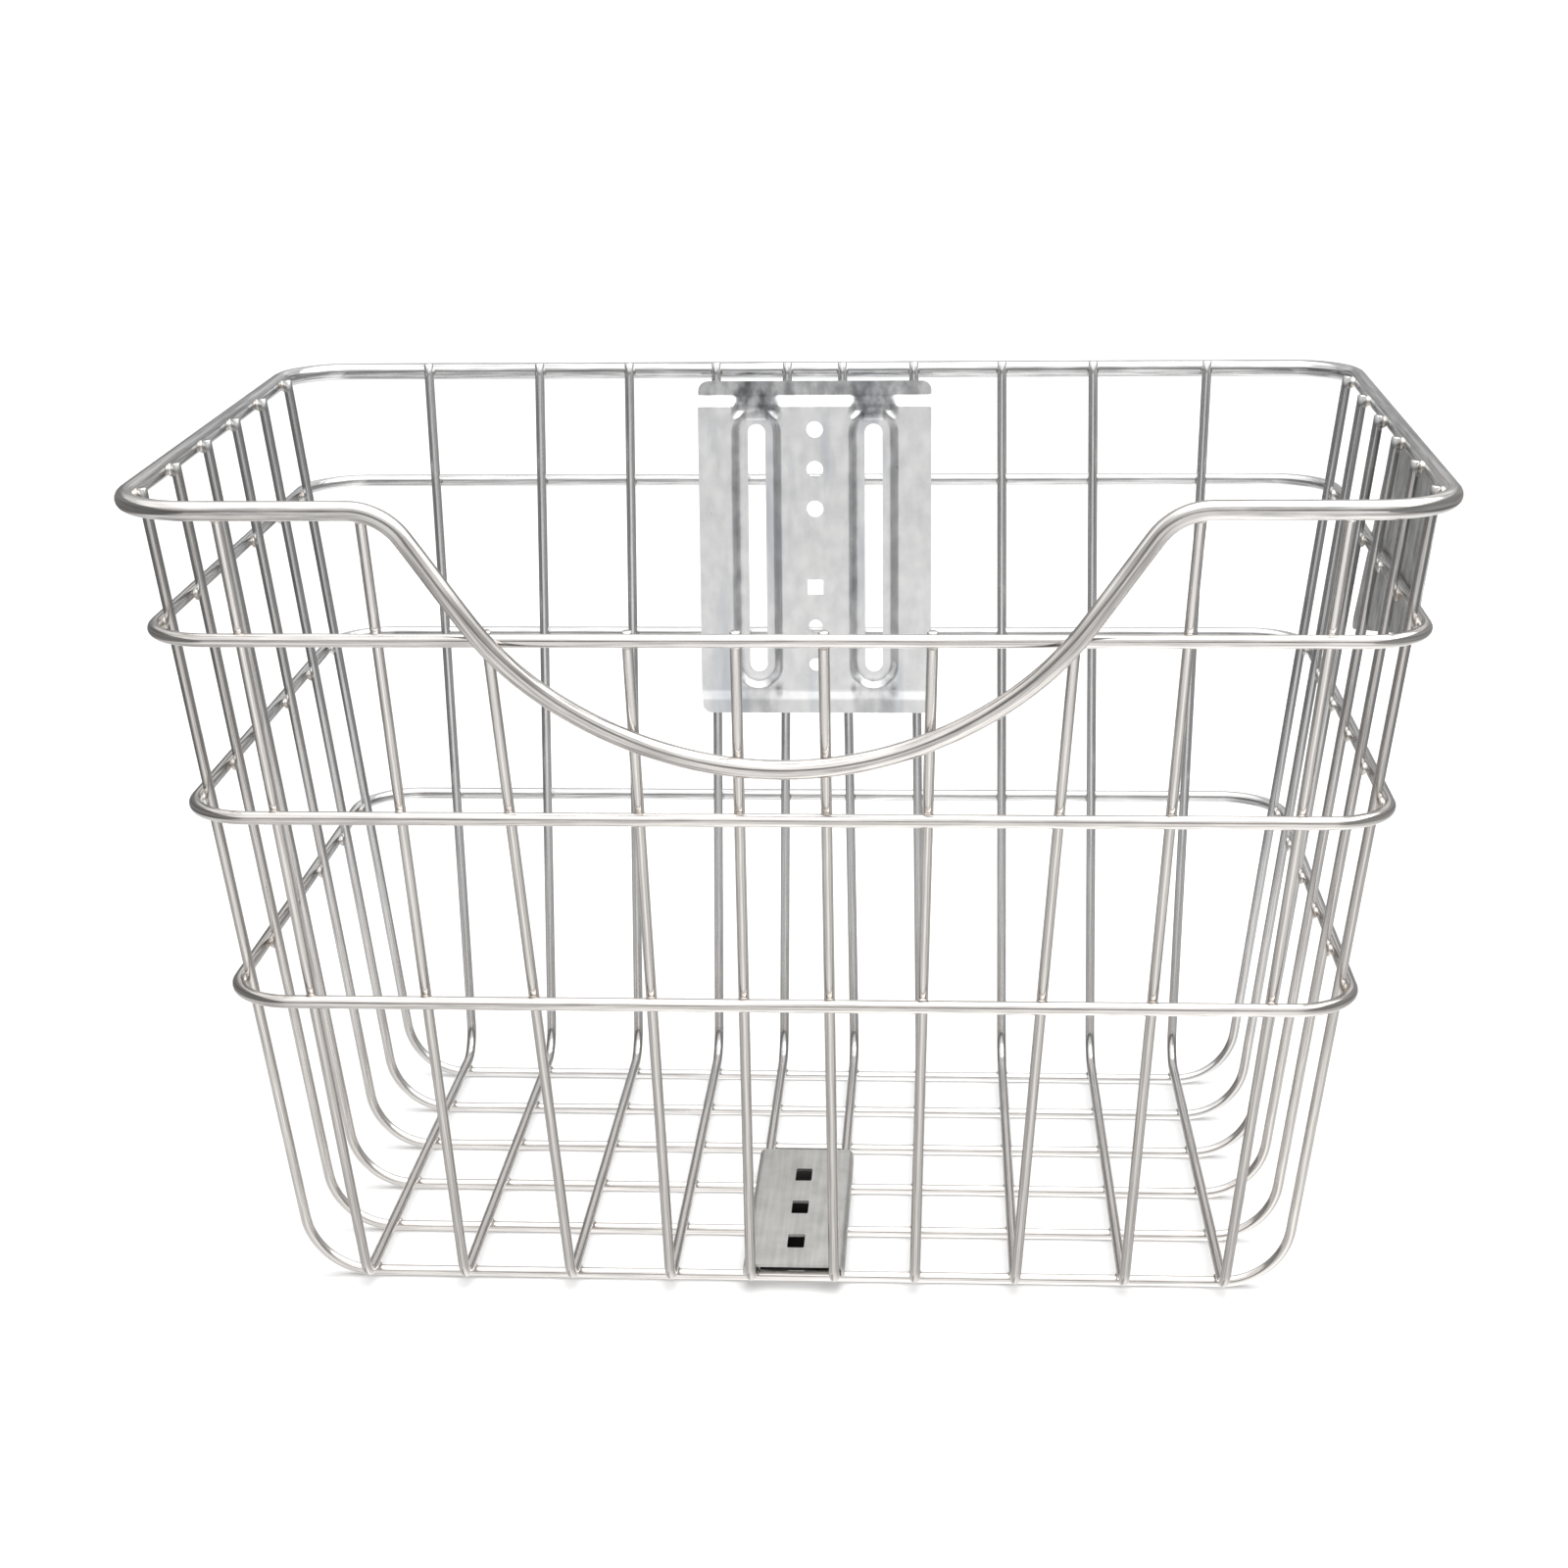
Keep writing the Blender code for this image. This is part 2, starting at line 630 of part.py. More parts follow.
bright_steel = metal("bright_drawn_steel", (0.62, 0.61, 0.59), 0.22)
ring_steel = metal("ring_steel", (0.58, 0.57, 0.55), 0.25)
grid_steel = metal("grid_steel", (0.46, 0.44, 0.41), 0.30)
zinc_sheet = metal("zinc_plated_sheet", (0.56, 0.59, 0.62), 0.38)
plain_sheet = metal("plain_steel_sheet", (0.50, 0.50, 0.48), 0.35)

wire("rim_wire", rim_path(), RIM_WIRE, bright_steel, closed=True)
for ring_name, drop in (
    ("upper_ring", UPPER_RING_DROP),
    ("middle_ring", MIDDLE_RING_DROP),
    ("lower_ring", LOWER_RING_DROP),
):
    wire(ring_name, ring_path(RIM_HEIGHT - drop), RING_WIRE, ring_steel, closed=True)

pair_count = len(FLOOR_SPREAD)
for pair_index in range(pair_count):
    left_name = f"lengthwise_wire_{pair_index + 1:02d}"
    right_name = f"lengthwise_wire_{2 * pair_count - pair_index:02d}"
    wire(left_name, lengthwise_path(pair_index, -1), GRID_WIRE, grid_steel)
    wire(right_name, lengthwise_path(pair_index, 1), GRID_WIRE, grid_steel)

for wire_index in range(CROSSWISE_COUNT):
    wire(f"crosswise_wire_{wire_index + 1}", crosswise_path(wire_index), GRID_WIRE, grid_steel)

make_mounting_plate(zinc_sheet)
make_floor_plate(plain_sheet)
make_side_plate(plain_sheet)
stand_on_origin()
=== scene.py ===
"""Looks of the handlebar bicycle basket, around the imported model.

Metres, +Z up, +X across the basket, +Y towards the bicycle. Every wire and plate of the
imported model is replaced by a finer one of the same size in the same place, and the
welds are added in the small gaps between them.
"""

from math import acos, atan, atan2, ceil, copysign, cos, hypot, pi, radians, sin, sqrt, tan

import bmesh
import bpy
from mathutils import Matrix, Quaternion, Vector, geometry, kdtree


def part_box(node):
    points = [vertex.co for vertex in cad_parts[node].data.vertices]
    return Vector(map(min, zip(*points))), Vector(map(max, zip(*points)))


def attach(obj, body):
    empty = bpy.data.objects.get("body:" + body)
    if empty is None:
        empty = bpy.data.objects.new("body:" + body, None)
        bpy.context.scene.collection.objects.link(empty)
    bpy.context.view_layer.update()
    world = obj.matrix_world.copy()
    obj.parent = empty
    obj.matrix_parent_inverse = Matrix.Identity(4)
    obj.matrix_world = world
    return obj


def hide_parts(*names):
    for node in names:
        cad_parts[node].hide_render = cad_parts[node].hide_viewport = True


# Camera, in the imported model's frame
PHOTO_WIDTH = 1600
FOCAL_PIXELS = 3000.0
SENSOR_WIDTH = 36.0
CAMERA_PLACE = Vector((0.0530, -0.9492, 0.4460))
CAMERA_YAW = radians(-3.57)
CAMERA_PITCH = radians(17.60)
CAMERA_ROLL = radians(0.83)

# Wire stock
RIM_WIRE = 0.0060
RING_WIRE = 0.0042
GRID_WIRE = 0.0034
WELD_GAP = 0.0003

# Walls: where the centres of the grid wires lie at floor level, and how far the walls lean out
FLOOR_HALF_DEPTH = 0.0940
FLOOR_HALF_WIDTH = 0.1558
END_LEAN = tan(radians(4.6))
SIDE_LEAN = tan(radians(7.4))
FLOOR_TAPER = tan(radians(1.3))
RIM_TAPER = tan(radians(0.8))

# Heights: the rim's centre above the floor, and the rings' centres below the rim
RIM_HEIGHT = 0.2650
RING_DROPS = {"upper_ring": 0.0400, "middle_ring": 0.0970, "lower_ring": 0.1590}
BACK_END_OVER_RIM = 0.0035
SIDE_END_OVER_RIM = 0.0020
FRONT_END_OVER_RIM = 0.0010
FRONT_END_OVER_RING = 0.0020

# Corners of the rings and of the rim, on the wire's centre line
RING_FRONT_CORNER = 0.020
RIM_FRONT_CORNER = 0.025
BACK_CORNER = 0.022

# Dip in the front of the rim
DIP_OVER_MIDDLE_RING = 0.0165
DIP_SLOPE = radians(54)
DIP_HALF_WIDTH = 0.1153
DIP_SHOULDER_RADIUS = 0.020

# Lengthwise wires, in pairs from the outside in
CENTRE_PAIR_FLOOR = 0.0135
CENTRE_PAIR_FRONT_TOP = 0.0130
CENTRE_PAIR_BACK_TOP = 0.0100
OUTER_PAIR_FLOOR_CLEARANCE = 0.0004
OUTER_PAIR_FRONT_CLEARANCE = 0.0066
OUTER_PAIR_BACK_CLEARANCE = 0.0251
FLOOR_SPREAD = (1.0, 0.745, 0.466, 0.208, 0.0)
FRONT_TOP_SPREAD = (1.0, 0.719, 0.505, 0.218, 0.0)
BACK_TOP_SPREAD = (1.0, 0.689, 0.439, 0.197, 0.0)
FRONT_BEND = 0.0055
BACK_BEND = 0.0120

# Crosswise wires
CROSSWISE_COUNT = 6
CROSSWISE_BEND = 0.0220
FIRST_FLOOR_INSET = 0.0110
LAST_FLOOR_INSET = 0.0120
FIRST_TOP_CLEARANCE = -0.0012
LAST_TOP_CLEARANCE = 0.0075

# Mounting plate
PLATE_SHEET = 0.0016
PLATE_WIDTH = 0.0850
PLATE_TOP_DROP = 0.0030
PLATE_HEIGHT = 0.1230
PLATE_OFFSET = 0.0030
PLATE_FLANGE = 0.0048
PLATE_JOGGLE = 0.0043
PLATE_CORNER = 0.0035
CHANNEL_SPACING = 0.0428
CHANNEL_WIDTH = 0.0180
CHANNEL_DEPTH = 0.0028
CHANNEL_MARGIN = 0.0006
SLOT_WIDTH = 0.0065
HOLE_DIAMETER = 0.0062
SMALL_HOLE_DIAMETER = 0.0050
SQUARE_HOLE = 0.0058
HOLE_PITCH = 0.0145
TOP_HOLE_DROP = 0.0173
HOLE_ROWS = (0, 1, 2)
SQUARE_HOLE_ROW = 4
SMALL_HOLE_ROWS = (5, 6)

# Floor plate
FLOOR_PLATE_SHEET = 0.0010
FLOOR_PLATE_LENGTH = 0.0890
FLOOR_PLATE_INSET = 0.0055
FLOOR_PLATE_BEND = 0.0022
FLOOR_HOLE_WIDTH = 0.0056
FLOOR_HOLE_LENGTH = 0.0098
FLOOR_HOLE_COUNT = 3
FLOOR_HOLE_PITCH = 0.0255
FLOOR_HOLE_FIRST = 0.0172

# Side plate
SIDE_SHEET = 0.0010
SIDE_PLATE_INSET = 0.0460
SIDE_PLATE_TOP = 0.0900
SIDE_PLATE_BOTTOM = 0.1030
SIDE_PLATE_FRONT = 0.0460
SIDE_PLATE_BACK = 0.0710
SIDE_PLATE_CORNER = 0.0030

# Fineness of the shapes
ARC_SAG = 0.00002
WIRE_STATION = 0.0045
WIRE_SIDES = 18
SHEET_STEP = 0.0016
HOLE_STEP = 0.0006
HOLE_CLEARANCE = 0.7 * HOLE_STEP
EDGE_STEP = 0.0008
SLOPE_STEP = 0.00001
CHANNEL_POINT_MARGIN = 0.0015
SLOT_RING_STEP = 0.00052
SLOT_RING_COUNT = 13
JOGGLE_ROW_STEP = 0.0005
JOGGLE_ROWS = tuple(row + 0.25 for row in range(-3, 12))
FLOOR_BEND_STEP = 0.0012

# Rounded edges and corners, and the mouths at the channels' ends
WIRE_END_BEVEL = 0.0004
SHEET_BEVEL = 0.00022
SQUARE_HOLE_CORNER = 0.0004
FLOOR_HOLE_CORNER = 0.0006
FLOOR_PLATE_CORNER = 0.0022
MOUTH_REACH = 0.0040
TOP_MOUTH_FALL = 0.82
BOTTOM_MOUTH_FALL = 0.35

# Welds, as half sizes along the wire, across it and outwards, and the heat marks round them
WALL_WELD = (0.0022, 0.0021, 0.0011)
FLOOR_WELD = (0.0021, 0.0021, 0.0009)
WELD_BELOW_END = 0.0032
HEAT_REACH = 0.010
HEAT_DULLNESS = 0.12
WELD_SHADES = ((0.42, 0.37, 0.32), (0.86, 0.85, 0.83))
WELD_NOISE = (420.0, 3.0)
WELD_SPAN = (0.35, 0.65)
WELD_ROUGHNESS = (0.42, 0.22)
WELD_RELIEF = (0.5, 0.0003)

# Wires: light and dark steel, tint of the heat marks, least and greatest roughness, and
# painted light and shade by height: the factor at the bottom and at the top of the basket
RIM_FINISH = (0.78, 0.37, (0.46, 0.43, 0.40), (0.11, 0.19), (1.00, 1.00))
RING_FINISH = (0.80, 0.46, (0.44, 0.41, 0.38), (0.12, 0.20), (1.00, 1.00))
LENGTHWISE_FINISH = (0.88, 0.62, (0.38, 0.34, 0.30), (0.13, 0.23), (0.72, 1.10))
CROSSWISE_FINISH = (0.80, 0.50, (0.38, 0.34, 0.30), (0.13, 0.23), (1.20, 0.74))

# Patterns on the wires: scale and detail, and the part of a pattern's range that shows
WIRE_RUN_SCALE = 22.0
LINE_STRETCH = 0.25
LINE_SHARE = 0.6
LINE_NOISE = (2.6, 3.0)
STREAK_NOISE = (3.2, 4.0)
PATCH_NOISE = (0.7, 2.0)
BLOTCH_NOISE = (2.3, 1.0)
GRAIN_SPAN = (0.38, 0.60)
PATCH_SPAN = (0.30, 0.70)
MARK_STRENGTHS = (0.3, 0.9)
WIRE_RELIEF = (0.35, 0.00012)

# Tone of the wires: warm low down in front, cool high up at the back
WARM_TONE = (1.0, 0.955, 0.915)
COOL_TONE = (0.97, 0.97, 0.97)
COOL_PER_DEPTH = 5.0
COOL_PER_HEIGHT = 3.0
COOL_SPAN = (0.0, 0.8)

# Zinc-plated sheet: its shades and roughness, and painted shade on the plate's parts
ZINC_SHADES = ((0.82, 0.825, 0.83), (0.95, 0.95, 0.95))
ZINC_RUN_SHADE = (0.62, 0.65, 0.70)
ZINC_PAINTED_SHADE = (0.17, 0.175, 0.185)
ZINC_ROUGHNESS = (0.27, 0.40)
ZINC_RELIEF = (0.12, 0.00006)
# Painted shade on the flange, on each wall of a channel and at each end of the channels
FLANGE_PAINTED_SHADE = 0.75
LEFT_WALL_PAINTED_SHADE = 0.55
RIGHT_WALL_PAINTED_SHADE = 0.15
TOP_MOUTH_PAINTED_SHADE = 1.0
BOTTOM_MOUTH_PAINTED_SHADE = 0.40

# Plain sheet: light and dark metal, their roughness, and the relief's strength and depth
FLOOR_PLATE_FINISH = ((0.58, 0.57, 0.55), (0.42, 0.415, 0.40), (0.46, 0.34), (0.12, 0.0002))
SIDE_PLATE_FINISH = ((0.78, 0.78, 0.77), (0.34, 0.34, 0.34), (0.42, 0.26), (0.70, 0.0020))

# Patterns on the blanks of the sheets: stretch across and along, scale and detail. The spans
# are the part of a pattern's range that shows, and for runs and dullness also their strengths
ZINC_MOTTLE = ((1.0, 0.6), 190.0, 6.0)
ZINC_MOTTLE_SPAN = (0.34, 0.66)
ZINC_RUNS = ((1.0, 0.16), 75.0, 4.0)
ZINC_RUN_SPAN = (0.52, 0.66, 0.0, 0.8)
ZINC_PAINTED_SHADE_SPAN = (0.35, 0.60, 1.0, 0.45)
ZINC_BRUSHING = ((900.0, 40.0), 1.0, 3.0)
SHEET_PATCHES = ((1.0, 1.0), 95.0, 4.0)
SHEET_LINES = ((450.0, 22.0), 1.0, 4.0)
SHEET_LINE_RELIEF = 0.15
SHEET_BUCKLES = ((1.0, 0.5), 110.0, 2.0)
SHEET_TONE_SPAN = (0.38, 0.62)
SHEET_GLOSS_SPAN = (0.35, 0.65)

# Stage: the floor, and a dark card on it under the floor plate, as painted shade
FLOOR_SIZE = 60.0
FLOOR_TONES = ((0.90,) * 3, (0.93,) * 3)
SHADE_INSET = 0.0111
SHADE_LIFT = 0.0001
SHADE_TONES = ((0.004, 0.004, 0.004), (0.010, 0.009, 0.008))

# Light of the room, in front and at the back: the z of a direction, and the level from there
BACKDROP_LIGHT = 1.15
FRONT_LIGHTS = (
    (-1.00, 1.65), (-0.60, 1.15), (-0.25, 1.10), (-0.03, 1.00), (0.03, 0.33),
    (0.21, 0.33), (0.34, 1.20), (0.86, 1.40), (0.92, 2.20), (1.00, 2.20),
)
BACK_LIGHTS = (
    (-1.00, 1.65), (-0.38, 0.85), (-0.15, 0.52), (0.12, 0.44), (0.28, 0.56),
    (0.41, 1.15), (0.54, 0.75), (0.86, 0.85), (0.92, 2.20), (1.00, 2.20),
)

# How that light changes: from one y, x or z to another, and from one level to another
FRONT_TO_BACK = (-0.10, 0.40)
LEFT_LEVELS = (-0.60, 0.05, 0.64, 1.00)
RIGHT_LEVELS = (0.15, 0.70, 1.00, 0.63)
OVERHEAD = (0.15, 0.50)
UNDER_LEFT_LEVELS = (-0.20, -0.06, 0.55, 1.00)
UNDER = (-0.90, -0.78)

# Glowing cards: one at each side, brighter at its top, and one overhead
SIDE_CARD_PLACE = 0.50
SIDE_CARD_HEIGHT = 0.45
SIDE_CARD_RISE = 1.2
LEFT_CARD_LIGHT = 0.19
RIGHT_CARD_LIGHT = 0.30
CEILING_CARD_PLACE = 1.30
CEILING_CARD_X = (-1.3, 1.5)
CEILING_CARD_Y = (-1.0, 0.7)
CEILING_CARD_FADE = (-0.75, 0.05)
CEILING_CARD_LIGHTS = (1.2, 3.0)

# Sizes that follow from the ones above
CROSSWISE_Z = GRID_WIRE / 2
LENGTHWISE_Z = 1.5 * GRID_WIRE + WELD_GAP
RING_OUT = (GRID_WIRE + RING_WIRE) / 2 + WELD_GAP
RIM_OUT = (GRID_WIRE + RIM_WIRE) / 2 + WELD_GAP
RIM_OUT_AT_RING = RING_OUT + (RING_WIRE + RIM_WIRE) / 2 + WELD_GAP
UPPER_RING_Z = RIM_HEIGHT - RING_DROPS["upper_ring"]
DIP_DEPTH = RING_DROPS["middle_ring"] - DIP_OVER_MIDDLE_RING
DIP_CORNER_DROP = DIP_HALF_WIDTH * tan(DIP_SLOPE)
DIP_BOWL_RADIUS = (DIP_CORNER_DROP - DIP_DEPTH) / (1 / cos(DIP_SLOPE) - 1)


# Wall surfaces and paths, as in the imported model

def taper(z):
    """How much each side wall closes in towards the back at this height, per unit of depth."""
    return FLOOR_TAPER + (RIM_TAPER - FLOOR_TAPER) * z / RIM_HEIGHT


def side_x(y, z, out=0.0):
    """Half width of the grid at this depth and height, or of a line that far outside it."""
    return FLOOR_HALF_WIDTH + SIDE_LEAN * z - taper(z) * y + out * hypot(1.0, SIDE_LEAN)


def end_y(z, out=0.0):
    """Half depth of the grid at this height, or of a line that far outside it."""
    return FLOOR_HALF_DEPTH + END_LEAN * z + out * hypot(1.0, END_LEAN)


def rounded(corners, radii):
    """Path through the corners, each replaced by an arc of its radius; radius 0 keeps it sharp."""
    path = []
    for index, (corner, radius) in enumerate(zip(corners, radii)):
        if radius == 0:
            path.append(corner.copy())
            continue
        before = (corners[index - 1] - corner).normalized()
        after = (corners[(index + 1) % len(corners)] - corner).normalized()
        half = before.angle(after) / 2
        turn = pi - 2 * half
        centre = corner + (before + after).normalized() * radius / sin(half)
        first = corner + before * radius / tan(half) - centre
        last = corner + after * radius / tan(half) - centre
        axis = first.cross(last).normalized()
        count = max(2, ceil(turn / (2 * acos(1 - ARC_SAG / radius))))
        for place in range(count + 1):
            path.append(centre + Quaternion(axis, turn * place / count) @ first)
    return path


def divided(path, longest, closed):
    """Path whose stretches are split to at most this length."""
    result = []
    for index in range(len(path) - 1 + closed):
        start = path[index]
        end = path[(index + 1) % len(path)]
        pieces = ceil((end - start).length / longest)
        for place in range(pieces):
            result.append(start.lerp(end, place / pieces))
    if not closed:
        result.append(path[-1])
    return result


def loop_corners(z, out):
    """Four corners, in plan, of a closed wire that lies this far outside the grid."""
    back = end_y(z, out)
    turns = ((-1, back), (1, back), (1, -back), (-1, -back))
    return [Vector((side * side_x(y, z, out), y, z)) for side, y in turns]


def ring_path(z):
    """Centre line of a ring."""
    radii = (BACK_CORNER, BACK_CORNER, RING_FRONT_CORNER, RING_FRONT_CORNER)
    return divided(rounded(loop_corners(z, RING_OUT), radii), WIRE_STATION, True)


def rim_front_z(x):
    """Height of the rim's centre line in the front wall, this far from the middle."""
    x = abs(x)
    bowl_end = DIP_BOWL_RADIUS * sin(DIP_SLOPE)
    shoulder_end = DIP_HALF_WIDTH + DIP_SHOULDER_RADIUS * tan(DIP_SLOPE / 2)
    shoulder_start = shoulder_end - DIP_SHOULDER_RADIUS * sin(DIP_SLOPE)
    if x >= shoulder_end:
        return RIM_HEIGHT
    if x >= shoulder_start:
        reach = shoulder_end - x
        return RIM_HEIGHT - DIP_SHOULDER_RADIUS + sqrt(DIP_SHOULDER_RADIUS**2 - reach**2)
    if x >= bowl_end:
        return RIM_HEIGHT - DIP_CORNER_DROP + x * tan(DIP_SLOPE)
    return RIM_HEIGHT - DIP_DEPTH + DIP_BOWL_RADIUS - sqrt(DIP_BOWL_RADIUS**2 - x**2)


def bow(z):
    """How far the dip swells outwards at this height, so that it passes in front of the ring."""
    rise = z - UPPER_RING_Z
    span = RIM_HEIGHT - UPPER_RING_Z if rise > 0 else UPPER_RING_Z - RIM_HEIGHT + DIP_DEPTH
    if abs(rise) >= span:
        return 0.0
    return (RIM_OUT_AT_RING - RIM_OUT) * cos(pi / 2 * rise / span) ** 2


def rim_path():
    """Centre line of the rim, with the dip in its front stretch."""
    back_left, back_right, front_right, front_left = loop_corners(RIM_HEIGHT, RIM_OUT)
    low_z = RIM_HEIGHT - DIP_CORNER_DROP
    corners = [
        back_left,
        back_right,
        front_right,
        Vector((DIP_HALF_WIDTH, front_right.y, RIM_HEIGHT)),
        Vector((0.0, -end_y(low_z, RIM_OUT), low_z)),
        Vector((-DIP_HALF_WIDTH, front_left.y, RIM_HEIGHT)),
        front_left,
    ]
    dip_radii = (DIP_SHOULDER_RADIUS, DIP_BOWL_RADIUS, DIP_SHOULDER_RADIUS)
    radii = (BACK_CORNER, BACK_CORNER, RIM_FRONT_CORNER, *dip_radii, RIM_FRONT_CORNER)
    path = divided(rounded(corners, radii), WIRE_STATION, True)
    for point in path:
        point.y -= bow(point.z) * hypot(1.0, END_LEAN)
    return path


def spread(outer, centre, shares):
    """Places between the centre pair and the outer pair of wires."""
    return [centre + share * (outer - centre) for share in shares]


def lengthwise_corners(pair, side):
    """Front end, two floor corners and back end of one lengthwise wire."""
    bend_trim = CROSSWISE_BEND * tan((pi / 2 - atan(SIDE_LEAN)) / 2)
    floor_inset = bend_trim + OUTER_PAIR_FLOOR_CLEARANCE
    floor_y = end_y(LENGTHWISE_Z)
    top_z = RIM_HEIGHT + BACK_END_OVER_RIM
    rim_y = end_y(RIM_HEIGHT, RIM_OUT)

    front_floor_outer = side_x(-floor_y, CROSSWISE_Z) - floor_inset
    back_floor_outer = side_x(floor_y, CROSSWISE_Z) - floor_inset
    rim_side = side_x(-rim_y, RIM_HEIGHT, RIM_OUT)
    front_outer = rim_side - RIM_FRONT_CORNER - OUTER_PAIR_FRONT_CLEARANCE
    back_outer = side_x(end_y(top_z), top_z) - BACK_CORNER - OUTER_PAIR_BACK_CLEARANCE

    front_floor_x = spread(front_floor_outer, CENTRE_PAIR_FLOOR, FLOOR_SPREAD)[pair]
    back_floor_x = spread(back_floor_outer, CENTRE_PAIR_FLOOR, FLOOR_SPREAD)[pair]
    front_x = spread(front_outer, CENTRE_PAIR_FRONT_TOP, FRONT_TOP_SPREAD)[pair]
    back_x = spread(back_outer, CENTRE_PAIR_BACK_TOP, BACK_TOP_SPREAD)[pair]

    fan = (front_x - front_floor_x) / (RIM_HEIGHT - LENGTHWISE_Z)
    front_z = UPPER_RING_Z + FRONT_END_OVER_RING
    if rim_front_z(front_x) - UPPER_RING_Z > RIM_WIRE + RING_WIRE:
        front_z = rim_front_z(front_x) + FRONT_END_OVER_RIM
    front_end_x = front_floor_x + fan * (front_z - LENGTHWISE_Z)
    return [
        Vector((side * front_end_x, -end_y(front_z), front_z)),
        Vector((side * front_floor_x, -floor_y, LENGTHWISE_Z)),
        Vector((side * back_floor_x, floor_y, LENGTHWISE_Z)),
        Vector((side * back_x, end_y(top_z), top_z)),
    ]


def crosswise_corners(index):
    """Left end, two floor corners and right end of one crosswise wire."""
    share = index / (CROSSWISE_COUNT - 1)
    top_z = RIM_HEIGHT + SIDE_END_OVER_RIM
    floor_first = -FLOOR_HALF_DEPTH + FIRST_FLOOR_INSET
    floor_last = FLOOR_HALF_DEPTH - LAST_FLOOR_INSET
    rim_y = end_y(RIM_HEIGHT, RIM_OUT)
    top_first = -rim_y + RIM_FRONT_CORNER + FIRST_TOP_CLEARANCE
    top_last = rim_y - BACK_CORNER - LAST_TOP_CLEARANCE
    floor_y = floor_first + share * (floor_last - floor_first)
    top_y = top_first + share * (top_last - top_first)
    top_x = side_x(top_y, top_z)
    floor_x = side_x(floor_y, CROSSWISE_Z)
    return [
        Vector((-top_x, top_y, top_z)),
        Vector((-floor_x, floor_y, CROSSWISE_Z)),
        Vector((floor_x, floor_y, CROSSWISE_Z)),
        Vector((top_x, top_y, top_z)),
    ]


# Welds

def at_height(low, high, z):
    """Point of the line between two points at this height."""
    return low.lerp(high, (z - low.z) / (high.z - low.z))


class Weld:
    """Squashed nugget between two crossing wires."""

    def __init__(self, place, along, outwards, size):
        self.place = place
        self.outwards = outwards.normalized()
        self.along = (along - self.outwards * along.dot(self.outwards)).normalized()
        self.size = size


def rim_crossing_x():
    """How far from the middle the dip of the rim crosses the upper ring."""
    low = 0.0
    high = DIP_HALF_WIDTH
    for _ in range(30):
        middle = (low + high) / 2
        if rim_front_z(middle) < UPPER_RING_Z:
            low = middle
        else:
            high = middle
    return low


def wall_weld(point, along, outwards):
    """Nugget outside a grid wire, where a wire of another thickness crosses it."""
    reach = (GRID_WIRE + WELD_GAP) / 2
    place = point + outwards.normalized() * reach
    return Weld(place, along, outwards, WALL_WELD)


def grid_welds():
    """Nuggets by the name of the piece that shows them."""
    welds = {name: [] for name in (*RING_DROPS, "rim_wire", "floor")}
    levels = [(name, RIM_HEIGHT - drop) for name, drop in RING_DROPS.items()]
    levels.append(("rim_wire", RIM_HEIGHT))
    front = Vector((0, -1, -END_LEAN))
    back = Vector((0, 1, -END_LEAN))

    pairs = range(len(FLOOR_SPREAD))
    lengthwise = [lengthwise_corners(pair, side) for pair in pairs for side in (-1, 1)]
    crosswise = [crosswise_corners(index) for index in range(CROSSWISE_COUNT)]
    for front_end, front_floor, back_floor, back_end in lengthwise:
        for name, z in levels:
            if front_end.z > z:
                place = at_height(front_floor, front_end, min(z, front_end.z - WELD_BELOW_END))
                welds[name].append(wall_weld(place, front_end - front_floor, front))
            place = at_height(back_floor, back_end, z)
            welds[name].append(wall_weld(place, back_end - back_floor, back))
        along = back_floor - front_floor
        for corners in crosswise:
            share = (corners[1].y - front_floor.y) / along.y
            place = front_floor + along * share
            place.z -= (GRID_WIRE + WELD_GAP) / 2
            welds["floor"].append(Weld(place, along, Vector((0, 0, -1)), FLOOR_WELD))
    for corners in crosswise:
        for floor_end, top_end in ((corners[1], corners[0]), (corners[2], corners[3])):
            for name, z in levels:
                place = at_height(floor_end, top_end, z)
                outwards = Vector((copysign(1, place.x), taper(z), -SIDE_LEAN))
                welds[name].append(wall_weld(place, top_end - floor_end, outwards))
    out = RING_OUT + (RING_WIRE + WELD_GAP) / 2
    for side in (-1, 1):
        place = Vector((side * rim_crossing_x(), -end_y(UPPER_RING_Z, out), UPPER_RING_Z))
        welds["upper_ring"].append(Weld(place, Vector((1, 0, 0)), front, WALL_WELD))
    return welds


# Meshes

def placed(name, mesh, material):
    """Object of a mesh in the scene."""
    mesh.materials.append(material)
    thing = bpy.data.objects.new(name, mesh)
    bpy.context.scene.collection.objects.link(thing)
    return thing


def finished(name, mesh, material, node=None):
    """Object of a finished mesh that rides on the basket."""
    thing = placed(name, mesh, material)
    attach(thing, "root")
    if node is not None:
        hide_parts(node)
    return thing


def frames_along(path, closed):
    """Direction of the path at each point, and a direction across it that doesn't twist."""
    count = len(path)
    ahead = []
    for index in range(count):
        before = path[index - 1] if closed or index else path[0]
        after = path[(index + 1) % count] if closed or index < count - 1 else path[-1]
        ahead.append((after - before).normalized())
    across = [ahead[0].orthogonal().normalized()]
    for index in range(1, count + closed):
        along = ahead[index % count]
        turned = ahead[index - 1].rotation_difference(along) @ across[-1]
        across.append((turned - along * turned.dot(along)).normalized())
    if closed:
        last = across.pop()
        twist = atan2(ahead[0].dot(last.cross(across[0])), last.dot(across[0]))
        for index, direction in enumerate(across):
            direction.rotate(Quaternion(ahead[index], twist * index / count))
    return ahead, across


